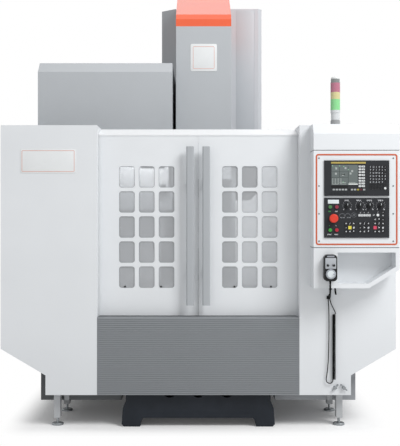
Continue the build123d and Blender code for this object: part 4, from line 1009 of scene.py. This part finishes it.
def screen_tile(name, colour, glow=0.12):
    material, tree, shader, place = new_material(name, Roughness=0.15, Specular_IOR_Level=0.3)
    dots = add_node(tree, "TexNoise", {"Vector": place, "Scale": per_metre(dot_mm), "Detail": 0.0})
    darker = tuple(0.85 * c for c in linear(colour)[:3]) + (1,)
    lit = add_node(
        tree, "Mix", {"Factor": dots.outputs["Fac"], 6: darker, 7: linear(colour)}, data_type="RGBA"
    )
    tree.links.new(lit.outputs[2], shader.inputs["Base Color"])
    tree.links.new(lit.outputs[2], shader.inputs["Emission Color"])
    shader.inputs["Emission Strength"].default_value = glow
    return material


screen_field = screen_tile("screen_field", "#646c6b")
screen_dark = screen_tile("screen_dark_line", "#2b3030", glow=0.0)
screen_light = screen_tile("screen_light_text", "#a4aaa8")
screen_bright = screen_tile("screen_bright_bar", "#d7dcda")
screen_green = screen_tile("screen_green_text", "#86b894")
print("screen colours ready")

# %% Screen page
unit_face = -1.274
glass_face = unit_face + 0.002
tile_sunk = 0.0002
thin_chamfer = (0.0004, 0.0001)


def tile(name, x, z, material, lift=0.0004):
    """A thin tile on the screen glass, with a chamfered edge."""
    piece = open_slab(name, x, z, glass_face, lift, tile_sunk)
    inset(piece, thin_chamfer)
    close_piece(piece, material)
    return piece


tile("screen_glass", (0.8195, 0.9825), (1.5415, 1.6655), screen_field)
tile("screen_status_bar", (0.924, 0.981), (1.5425, 1.5495), screen_bright, lift=0.0008)
dividers = tile("screen_dividers", (0.8675, 0.8695), (1.588, 1.656), screen_dark, lift=0.0008)
repeat(dividers, [(0.054, 0, 0), (0.054, 0, -0.040)])
split = tile("screen_split", (0.821, 0.921), (1.6215, 1.6230), screen_dark, lift=0.0008)
repeat(split, [(0, 0, -0.035)])
rows = tile("screen_table", (0.8225, 0.8300), (1.5780, 1.5805), screen_light, lift=0.0009)
repeat(rows, grid(4, 6, 0.0170, -0.0058))
bars = tile("screen_lower_rows", (0.8225, 0.8620), (1.5440, 1.5468), screen_light, lift=0.0009)
repeat(bars, [(0.047, 0, 0.0005), (0.047, 0, 0.010), (0.104, 0, 0.0092)])
marks = tile("screen_marks", (0.843, 0.854), (1.636, 1.648), screen_light, lift=0.0009)
marks_x = (0.057, -0.002, 0.041, 0.098, 0.088)
marks_z = (0.002, -0.032, -0.038, -0.016, -0.031)
repeat(marks, [(x, 0, z) for x, z in zip(marks_x, marks_z)])
tile("screen_dark_mark", (0.881, 0.902), (1.603, 1.609), screen_dark, lift=0.0010)
greens = tile("screen_green_marks", (0.822, 0.829), (1.656, 1.661), screen_green, lift=0.0009)
greens_x = (0.020, 0.044, 0.069, 0.098, 0.066)
greens_z = (-0.010, -0.001, -0.004, -0.024, -0.100)
repeat(greens, [(x, 0, z) for x, z in zip(greens_x, greens_z)])
print("screen page ready")

# %% [markdown]
# A yellow strip runs along the top of the display unit, a black band lies under
# the screen, and black bars part the two blocks of soft keys. They are printed
# foil, 0.6 mm thick, and so is the bare white plate above the buttons.

# %% Foil strips
foil_yellow = moulded_plastic("yellow_foil", "#b3a057", roughness=0.35, depth=0.03)
foil_white = moulded_plastic("white_foil", "#dfe6e9", roughness=0.3, depth=0.03)
foil_grey = moulded_plastic("grey_print", "#9a9ea6", roughness=0.5, depth=0.03)
foil_black = moulded_plastic("black_foil", "#08090a", roughness=0.35, depth=0.03)
foil_thick = 0.0006


def foil(name, x, z, material, corner=0.002):
    piece = open_slab(name, x, z, unit_face, foil_thick, tile_sunk)
    round_edges(piece, corner, 3)
    inset(piece, thin_chamfer)
    close_piece(piece, material)
    return piece


foil("display_top_strip", (0.816, 1.030), (1.672, 1.6825), foil_yellow)
foil("display_lower_band", (0.8165, 0.9205), (1.5235, 1.5355), foil_black, corner=0.001)
bars = foil("soft_key_bars", (0.981, 1.030), (1.5235, 1.5275), foil_black, corner=0.001)
repeat(bars, [(0, 0, 0.068), (0, 0, 0.137)])
foil("panel_bare_foil", (0.797, 0.865), (1.4260, 1.4500), foil_white)
print("foils ready")

# %% [markdown]
# Keys. The operator's units have fixed membrane keys: a printed foil over snap
# domes, each key raised by 2 mm, with soft corners and a shallow dish for the
# finger. One key of each field is modelled and copied across its field. Most
# are black, with a light print in the middle. The soft keys beside the screen
# and the switch row are white, those under the screen are grey, and five keys
# have a colour of their own.

# %% Key fields
key_height = 0.002
key_foil = {"roughness": 0.4, "depth": 0.05}
key_black = moulded_plastic("black_key_foil", "#17181b", roughness=0.45, depth=0.05)
key_white = moulded_plastic("white_key_foil", "#d6d9da", **key_foil)
key_grey = moulded_plastic("grey_key_foil", "#a6aaab", **key_foil)
key_yellow = moulded_plastic("yellow_key_foil", "#e3d553", **key_foil)
key_pink = moulded_plastic("pink_key_foil", "#d04a63", **key_foil)
key_ochre = moulded_plastic("ochre_key_foil", "#a3953f", **key_foil)
key_wine = moulded_plastic("wine_key_foil", "#5c1f2b", **key_foil)
# each field: its first key's middle, pitch, columns and rows, key size, foil
key_fields = {
    "low_soft_keys": ((0.9945, 1.5335), (0.0208, 0.0166), (2, 4), (0.0180, 0.0112), key_white),
    "high_soft_keys": ((0.9945, 1.6022), (0.0208, 0.0173), (2, 4), (0.0180, 0.0112), key_white),
    "row_soft_keys": ((0.8335, 1.5122), (0.0186, 0), (11, 1), (0.0140, 0.0100), key_grey),
    "page_keys": ((0.8170, 1.4883), (0.0195, 0), (12, 1), (0.0100, 0.0100), key_black),
    "entry_keys": ((1.0585, 1.5200), (0.0181, 0.0188), (6, 8), (0.0155, 0.0160), key_black),
    "switch_keys": ((0.9912, 1.3543), (0.0154, 0), (5, 1), (0.0136, 0.0136), key_white),
    "axis_keys": ((0.9090, 1.2540), (0.0233, 0.0247), (3, 3), (0.0195, 0.0200), key_black),
    "function_keys": ((0.9960, 1.2540), (0.0250, 0.0247), (3, 3), (0.0205, 0.0200), key_black),
    "mode_keys": ((1.0872, 1.2540), (0.0240, 0.0247), (3, 4), (0.0200, 0.0200), key_black),
    "side_keys": ((1.1352, 1.3525), (0, 0.0218), (1, 2), (0.0200, 0.0180), key_black),
}
# keys with a foil of their own, by field, column and row
special_keys = {
    ("axis_keys", 1, 1): key_yellow,
    ("mode_keys", 0, 1): key_pink,
    ("row_soft_keys", 5, 0): key_black,
    ("row_soft_keys", 8, 0): key_ochre,
    ("row_soft_keys", 9, 0): key_wine,
}
print(len(key_fields), "fields,", len(special_keys), "special keys")

# %% Keys
key_corner = 0.0022


def model_key(name, x, z, size, material):
    key_x, key_z = (x - size[0] / 2, x + size[0] / 2), (z - size[1] / 2, z + size[1] / 2)
    key = open_slab(name, key_x, key_z, unit_face, key_height, tile_sunk)
    round_edges(key, key_corner, 3)
    inset(key, (0.0005, 0.0003), (0.0007, -0.0004))
    close_piece(key, material)
    return key


key_middles = {}
for field, (first, pitch, (columns, rows), size, foil_colour) in key_fields.items():
    key = model_key(field, *first, size, foil_colour)
    offsets = []
    for c in range(columns):
        for r in range(rows):
            x, z = first[0] + c * pitch[0], first[1] + r * pitch[1]
            key_middles[field, c, r] = (x, z)
            if (field, c, r) in special_keys:
                colour = special_keys[field, c, r]
                model_key(field + "_special", x, z, size, colour)
            elif c or r:
                offsets.append((c * pitch[0], 0, r * pitch[1]))
    repeat(key, offsets)
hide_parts("panel_keys")

# %% [markdown]
# Two round white caps close the service sockets, one on each unit: a low
# turned button with a rounded rim and a shallow dish.

# %% Socket caps
cap_white = moulded_plastic("white_cap_plastic", "#e6e9ea", roughness=0.35, depth=0.05)
cap_middle_y, cap_thick = unit_face - 0.0015, 0.0034


def socket_cap(name, x, z, radius):
    cap = open_disc(name, (x, cap_middle_y, z), radius, cap_thick)
    round_rim(cap, 0.0012, 3)
    inset(cap, (radius * 0.2, 0))
    push(0, 0.0005, 0)
    close_piece(cap, cap_white)


socket_cap("display_socket_cap", 1.149, 1.520, 0.0075)
socket_cap("panel_socket_cap", 1.1037, 1.3560, 0.0085)
print("two socket caps")

# %% [markdown]
# The entry keys carry letters and digits, and the other keys a short sign.
# Each is a text turned into a mesh, with a thickness of a fifth of a
# millimetre. A screen print's strokes are half a millimetre wide, which this
# picture is too small to show, so they are drawn three times as bold.

# %% Inks and letters
print_ink = moulded_plastic("light_key_print", "#e4e7eb", **ink)
soft_ink = moulded_plastic("soft_key_print", "#b4b8bd", **ink)
grey_ink = moulded_plastic("grey_key_print", "#8d9196", **ink)
dark_ink = moulded_plastic("dark_key_print", "#3a3d42", **ink)
green_ink = moulded_plastic("green_key_print", "#3f9a52", **ink)
ink_half, ink_lift = 0.0001, 0.00005


def sign(text, x, z, size, face_y, bold=0.0004):
    """A text on a face that looks at the operator, as a mesh at the origin."""
    bpy.ops.object.select_all(action="DESELECT")
    bpy.ops.object.text_add(location=(x, face_y - ink_lift, z), rotation=(math.pi / 2, 0, 0))
    letters = bpy.context.active_object
    letters.data.body = text
    letters.data.size = size
    letters.data.extrude = ink_half
    letters.data.offset = bold
    letters.data.resolution_u = 3
    letters.data.align_x = "CENTER"
    letters.data.align_y = "CENTER"
    bpy.ops.object.convert(target="MESH")
    bpy.ops.object.transform_apply(location=True, rotation=True, scale=True)
    return bpy.context.active_object


def join_signs(name, signs, ink, body="machine_frame"):
    bpy.ops.object.select_all(action="DESELECT")
    for letters in signs:
        letters.select_set(True)
    bpy.context.view_layer.objects.active = signs[0]
    bpy.ops.object.join()
    printed = bpy.context.active_object
    printed.name = name
    printed.data.materials.clear()
    printed.data.materials.append(ink)
    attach(printed, body)


print("inks ready")

# %% Key print
key_face = unit_face - key_height
# the entry keys column by column from the left, each column from its foot up
entry_rows = 8
entry_signs = "  XYZFTS  MGNOPQ  RUVWIJ  KHBD78  945612   30.+-/"
signs = []
for (field, c, r), (x, z) in key_middles.items():
    if field == "entry_keys" and entry_signs[c * entry_rows + r] != " ":
        signs.append(sign(entry_signs[c * entry_rows + r], x, z, 0.0125, key_face))
join_signs("entry_key_print", signs, soft_ink)

# the other keys take their signs in turn, so that neighbours differ
bold_signs, soft_signs = "+-=<>/*#", "-=-<>-"
bold_fields = ("axis_keys", "function_keys", "mode_keys", "side_keys")
soft_fields = ("low_soft_keys", "high_soft_keys", "switch_keys")
bold_marks, soft_marks = [], []
for (field, c, r), (x, z) in key_middles.items():
    if field in bold_fields and (field, c, r) not in special_keys:
        mark = bold_signs[(c * 3 + r) % len(bold_signs)]
        bold_marks.append(sign(mark, x, z, 0.017, key_face))
    elif field in soft_fields:
        mark = soft_signs[(c + r) % len(soft_signs)]
        soft_marks.append(sign(mark, x, z, 0.010, key_face))
join_signs("black_key_print", bold_marks, print_ink)
join_signs("white_key_print", soft_marks, dark_ink)
print(len(signs), "letters and", len(bold_marks) + len(soft_marks), "marks")

# %% [markdown]
# Round each selector knob lies a printed scale: eleven short lines on an arc
# of 270 degrees. The knob has a white pointer line on its grip, so that its
# setting can be read. The line rides on the knob, the scale on the panel.

# %% Dial scales and pointers
knob_places = {
    "mode_selector": 0.915,
    "feed_selector": 0.993,
    "rapid_selector": 1.052,
    "speed_selector": 1.121,
}
knob_row_z = 1.414
scale_r = 0.0245
selector_angles = range(-135, 136, 27)
pointer_front = -1.2973
number_aside, number_down, number_size = 0.021, 0.024, 0.008


def dial_line(name, x, z, angle, inner, outer, width, face_y, material, body="machine_frame"):
    """A flat line on a dial, from inner to outer radius at this angle from the top."""
    line_x, line_z = (x - width / 2, x + width / 2), (z + inner, z + outer)
    line = open_slab(name, line_x, line_z, face_y, 0.0003, sunk=0)
    bpy.ops.mesh.select_all(action="SELECT")
    bpy.ops.transform.rotate(value=angle, orient_axis="Y", center_override=(x, face_y, z))
    inset(line, (width * 0.2, 0.0001))
    return close_piece(line, material, body)


def tick_arc(name, x, z, radius, angles, length, width, ink):
    """Short lines on a circle, printed on the machine panel."""
    lines = [
        dial_line(name, x, z, math.radians(angle), radius, radius + length, width, unit_face, ink)
        for angle in angles
    ]
    join_signs(name, lines, ink)


for body, x in knob_places.items():
    tick_arc(
        body + "_scale", x, knob_row_z, scale_r, selector_angles,
        length=0.0045, width=0.0013, ink=print_ink,
    )
    pointer = dial_line(
        body + "_pointer", x, knob_row_z, angle=0, inner=0.001, outer=0.0125, width=0.0028,
        face_y=pointer_front, material=foil_white, body=body,
    )
    number_z = knob_row_z - number_down
    numbers = [
        sign("0", x - number_aside, number_z, number_size, unit_face),
        sign("10", x + number_aside, number_z, number_size, unit_face),
    ]
    join_signs(body + "_numbers", numbers, print_ink)
print(len(knob_places), "scales")

# %% [markdown]
# Words name the selectors and the buttons, and three printed gauges lie
# between them: arcs of short lines with their numbers.

# %% Words and gauges
# each word: its text, its middle across and up, and its size
light_words = [
    ("MODE", 0.9122, 1.4460, 0.0090),
    ("FEED %", 0.9857, 1.4460, 0.0090),
    ("RAPID %", 1.0515, 1.4460, 0.0085),
    ("SPEED %", 1.1196, 1.4460, 0.0090),
    ("OFF", 0.8485, 1.3775, 0.0095),
    ("X", 0.9975, 1.3700, 0.0085),
    ("Y", 1.0210, 1.3700, 0.0085),
    ("Z", 1.0450, 1.3700, 0.0085),
    ("I/O", 1.0790, 1.3555, 0.0090),
    ("//", 1.1045, 1.3740, 0.0080),
    ("=", 0.8470, 1.2897, 0.0110),
    ("START", 0.8065, 1.2360, 0.0085),
    ("HOLD", 0.8485, 1.2360, 0.0085),
]
join_signs("panel_words", [sign(*word, unit_face, 0.0002) for word in light_words], print_ink)
green_words = [("ON", 0.8070, 1.3775, 0.0100), (">", 0.8070, 1.2897, 0.0100)]
join_signs("green_panel_words", [sign(*word, unit_face) for word in green_words], green_ink)
half_round = {"radius": 0.0160, "angles": range(-80, 81, 20), "length": 0.0060}
full_round = {"radius": 0.0110, "angles": range(0, 360, 30), "length": 0.0050}
tick_arc("load_gauge", 0.8850, 1.3460, **half_round, width=0.0016, ink=grey_ink)
tick_arc("speed_gauge", 0.9190, 1.3460, **half_round, width=0.0016, ink=grey_ink)
tick_arc("tool_gauge", 0.9570, 1.3560, **full_round, width=0.0016, ink=grey_ink)
gauge_numbers = [
    ("0 50 100", 0.8860, 1.3400, 0.0080),
    ("50 100", 0.9250, 1.3400, 0.0080),
    ("12", 0.9570, 1.3560, 0.0090),
]
join_signs("gauge_numbers", [sign(*number, unit_face) for number in gauge_numbers], grey_ink)
print(len(light_words) + len(green_words), "words and three gauges")

# %% [markdown]
# The pendant's face is a brushed aluminium plate let into the black housing,
# with a scale of a hundred steps round the dial. At this size only every fifth
# step is drawn. The housing has a hooded top with a bare label.

# %% Pendant face
pendant_x, dial_z, selector_z = 0.808, 0.996, 1.049
pendant_face, selector_face = -1.317, -1.326
plate_metal = bare_steel(
    "brushed_aluminium_plate", "#b3b7bc", (40.0, 2.0, 2.0), roughness=0.42
)
face_plate = open_slab(
    "pendant_face_plate", (0.775, 0.841), (1.028, 1.094), pendant_face, 0.0008
)
round_edges(face_plate, 0.005, 4)
inset(face_plate, (0.0008, 0.0002))
close_piece(face_plate, plate_metal)

label = open_slab("pendant_label", (0.786, 0.830), (1.099, 1.108), pendant_face, foil_thick)
round_edges(label, 0.003, 3)
inset(label, (0.0005, 0.0001))
close_piece(label, foil_grey)
print("face plate and label")

# %% Pendant dial
dial_face = -1.3293
scale_steps = 20
dial = {"face_y": dial_face, "material": dark_ink, "body": "pulse_dial"}
dial_ring = {"inner": 0.0265, "outer": 0.0288, "width": 0.0009}
steps = [
    dial_line(
        "pendant_scale", pendant_x, dial_z, 2 * math.pi * step / scale_steps, **dial_ring, **dial
    )
    for step in range(scale_steps)
]
join_signs("pendant_scale", steps, dark_ink, "pulse_dial")
dish_middle = (pendant_x, dial_face - 0.0004, dial_z)
dish = open_disc("pendant_dial_cap", dish_middle, radius=0.021, depth=0.0012, sides=40)
inset(dish, (0.002, 0.0004), (0.006, -0.0003))
close_piece(dish, foil_white, "pulse_dial")
knob_marks = [
    dial_line(
        "pendant_selector_marks", x, selector_z, angle, inner=0.002, outer=0.0075, width=0.0015,
        face_y=selector_face, material=foil_white,
    )
    for x, angle in ((0.790, -0.5), (0.826, 0.6))
]
join_signs("pendant_selector_marks", knob_marks, foil_white)
print("pendant dressed")

# %% [markdown]
# Small parts hang or stand on the big sheets: a wire hook beside the operator
# box, the hood of the service plug under it, the bodies of the two drain
# cocks, and a folded strap on each tank, in line with the cabin's feet.

# %% Wire hook
wire_r = 0.0028
hook_y = -1.130
hook_line = [
    (0.735, 0.907), (0.733, 0.9015), (0.716, 0.9010),
    (0.702, 0.9015), (0.695, 0.906), (0.694, 0.922),
]
hook = round_line("panel_hook", [(x, hook_y, z) for x, z in hook_line], [wire_r] * len(hook_line))
bpy.ops.object.select_all(action="DESELECT")
hook.select_set(True)
bpy.context.view_layer.objects.active = hook
bpy.ops.object.convert(target="MESH")
bpy.ops.object.mode_set(mode="EDIT")
close_piece(hook, white_coat)
print("hook of", len(hook_line), "points")

# %% Plug hood and drain cocks
hood_middle, hood_r, hood_length = (0.8635, -1.140, 0.869), 0.0058, 0.030
hood_lean, hood_foot_z = 0.004, 0.862
bpy.ops.object.select_all(action="DESELECT")
bpy.ops.mesh.primitive_cylinder_add(
    vertices=20, radius=hood_r, depth=hood_length, location=hood_middle
)
hood = open_primitive("service_plug_hood")
round_rim(hood, 0.0015, 2, faces_up_or_down)
pick_faces(hood, lambda middle, normal: middle.z < hood_foot_z)
bpy.ops.transform.translate(value=(hood_lean, 0, 0))
close_piece(hood, cord_pvc)

first_cock, cock_pitch = (0.868, -1.1105, 0.262), 0.055
cock = open_disc("drain_cock_bodies", first_cock, radius=0.011, depth=0.0215, sides=24)
round_rim(cock, 0.002, 2)
inset(cock, (0.003, 0.001))
close_piece(cock, zinc_steel)
repeat(cock, [(cock_pitch, 0, 0)])
print("plug hood and two drain cocks")

# %% Tank straps
strap_x, strap_z = (0.8405, 0.8735), (0.150, 0.318)
strap_thick = 0.008
tank_face = -0.950
strap = open_slab("tank_straps", strap_x, strap_z, tank_face, strap_thick)
round_edges(strap, 0.003, 3, uprights_ahead_of(tank_face - strap_thick + 0.001))
inset(strap, (0.004, -0.0015))
close_piece(strap, leg_coat)
repeat(strap, [(-strap_x[0] - strap_x[1], 0, 0)])
print("two straps")

# %% [markdown]
# The duct up the column carries a flat cover plate, a shade darker than the
# sheet around it. Behind the left windows, a white service cover closes the
# foot of the magazine, with a dark edge strip over it, a black strip at its
# corner and the black air cylinder that shifts the magazine beside it. The
# corner strip is painted shade, for the dark gap between the magazine and the
# head cover. Behind the right windows stands a dark sheet with its lower corner
# cut off: painted shade, for the shade that lies there inside the cabin.

# %% Duct plate and magazine foot
duct_face = 0.380
plate = open_slab("duct_cover_plate", (0.306, 0.4525), (1.940, 3.012), duct_face, 0.0015)
inset(plate, (0.0015, 0.0005))
close_piece(plate, cover_coat)

magazine_face = -0.555
foot_x, foot_z = (-1.100, -0.207), (1.536, 1.692)
foot = open_slab("magazine_foot_cover", foot_x, foot_z, magazine_face, 0.0025)
round_edges(foot, 0.004, 3)
inset(foot, (0.002, 0.0008))
close_piece(foot, white_coat)
print("duct plate and magazine foot")

# %% Strip, corner strip of painted shade, and air cylinder
edge_x, edge_z = (-0.400, -0.235), (1.682, 1.700)
edge = open_slab("magazine_edge_strip", edge_x, edge_z, magazine_face, 0.004)
inset(edge, (0.0015, 0.0008))
close_piece(edge, seal_rubber)

# A black strip at the corner of the magazine's foot: painted shade, for the dark gap beside the
# head cover.
corner_x, corner_z = (-0.2065, -0.1835), (1.550, 1.705)
corner = open_slab("magazine_corner_painted_shade", corner_x, corner_z, magazine_face, 0.004)
round_edges(corner, 0.0015, 2, uprights_ahead_of(magazine_face))
close_piece(corner, seal_rubber)

cylinder_x, cylinder_z = (-0.268, -0.218), (1.486, 1.552)
cylinder = open_slab("magazine_air_cylinder", cylinder_x, cylinder_z, magazine_face, 0.034)
round_edges(cylinder, 0.006, 3, uprights_ahead_of(magazine_face))
inset(cylinder, (0.010, 0), wanted=faces_up)
push(0, 0, 0.016)
close_piece(cylinder, black_plastic)
print("strip, seal and air cylinder")

# %% Sheet of painted shade
# A dark sheet behind the right windows, where the inside of the cabin lies in shade: painted shade.
shade_sheet_x, shade_sheet_z = (0.304, 0.477), (1.480, 1.775)
shade_sheet_face, shade_sheet_thick = 0.3873, 0.0038
cut_corner = 0.056


def lower_right_corner(middle, direction):
    low = middle.z < shade_sheet_z[0] + 0.01
    return runs_front_to_back(middle, direction) and low and middle.x > shade_sheet_x[1] - 0.007


painted_shade_sheet = open_slab(
    "rear_painted_shade_sheet", shade_sheet_x, shade_sheet_z, shade_sheet_face, shade_sheet_thick, sunk=0
)
round_edges(painted_shade_sheet, cut_corner, 1, lower_right_corner)
inset(painted_shade_sheet, (0.0015, 0.0006))
close_piece(painted_shade_sheet, black_paint)
print("splash sheet")

# %% [markdown]
# Each window opening has a thin gasket where the door sheet meets the
# polycarbonate: a ring 2.5 mm wide that keeps coolant in. It lies just inside
# the opening, behind the face of the door. The rubber is the pale kind, which
# shows as a light line round each window.

# %% Window gaskets
gasket_rubber = moulded_plastic("epdm_rubber", "#9a9ea1", roughness=0.7, depth=0.1)
window_width, window_height = 0.101, 0.138
window_corner = 0.017
window_first = (0.2045, 0.9552)
window_pitch = (0.128, 0.1618)
gasket_width = 0.0025
gasket_y = (-1.0082, -1.0068)

for name, door, side in (
    ("window_gaskets_left", "left_door", -1),
    ("window_gaskets_right", "right_door", 1),
):
    x, z = side * window_first[0], window_first[1]
    ring = open_piece(
        name,
        (x - window_width / 2, gasket_y[0], z - window_height / 2),
        (x + window_width / 2, gasket_y[1], z + window_height / 2),
    )
    round_edges(ring, window_corner, 5)
    open_middle(ring, gasket_width)
    close_piece(ring, gasket_rubber, door)
    repeat(ring, grid(3, 5, side * window_pitch[0], window_pitch[1]))
print("thirty gaskets")

# %% [markdown]
# Each window sheet is clamped at its foot by two black screws, which show at
# the bottom of the lowest windows.

# %% Window screws
clamp_y, clamp_z = -1.0105, 0.894
for door, first_x, second_x in (("left_door", -0.472, -0.240), ("right_door", 0.234, 0.470)):
    middle = (first_x, clamp_y, clamp_z)
    screw = open_disc("window_screws_" + door, middle, radius=0.0065, depth=0.004, sides=20)
    inset(screw, (0.002, -0.001))
    close_piece(screw, black_plastic, door)
    repeat(screw, [(second_x - first_x, 0, 0)])
print("four window screws")

# %% [markdown]
# At the back, the column's cover is screwed on along its edges, and the door
# of the electrical cabinet has two round quarter-turn locks with a sunk face.

# %% Rear fasteners
first_rear, rear_pitch = (-0.262, 1.0551, 2.345), (0.3705, 0.3225)
rear_screws = open_disc("rear_cover_screws", first_rear, radius=0.0075, depth=0.004, sides=20)
round_rim(rear_screws, 0.0012, 2, faces_rear)
inset(rear_screws, (0.0025, -0.0012), wanted=faces_rear)
close_piece(rear_screws, zinc_steel)
# a field of three by three without its middle one
rear_offsets = grid(3, 3, *rear_pitch)
rear_offsets.remove((rear_pitch[0], 0, rear_pitch[1]))
repeat(rear_screws, rear_offsets)

first_lock, lock_pitch = (-0.400, 1.3152, 0.840), 1.180
locks = open_disc("cabinet_door_locks", first_lock, radius=0.0145, depth=0.0058, sides=32)
round_rim(locks, 0.0018, 3, faces_rear)
inset(locks, (0.0045, -0.0015), wanted=faces_rear)
close_piece(locks, black_plastic, "rear_door")
repeat(locks, [(0, 0, lock_pitch)])
print("eight rear screws and two locks")
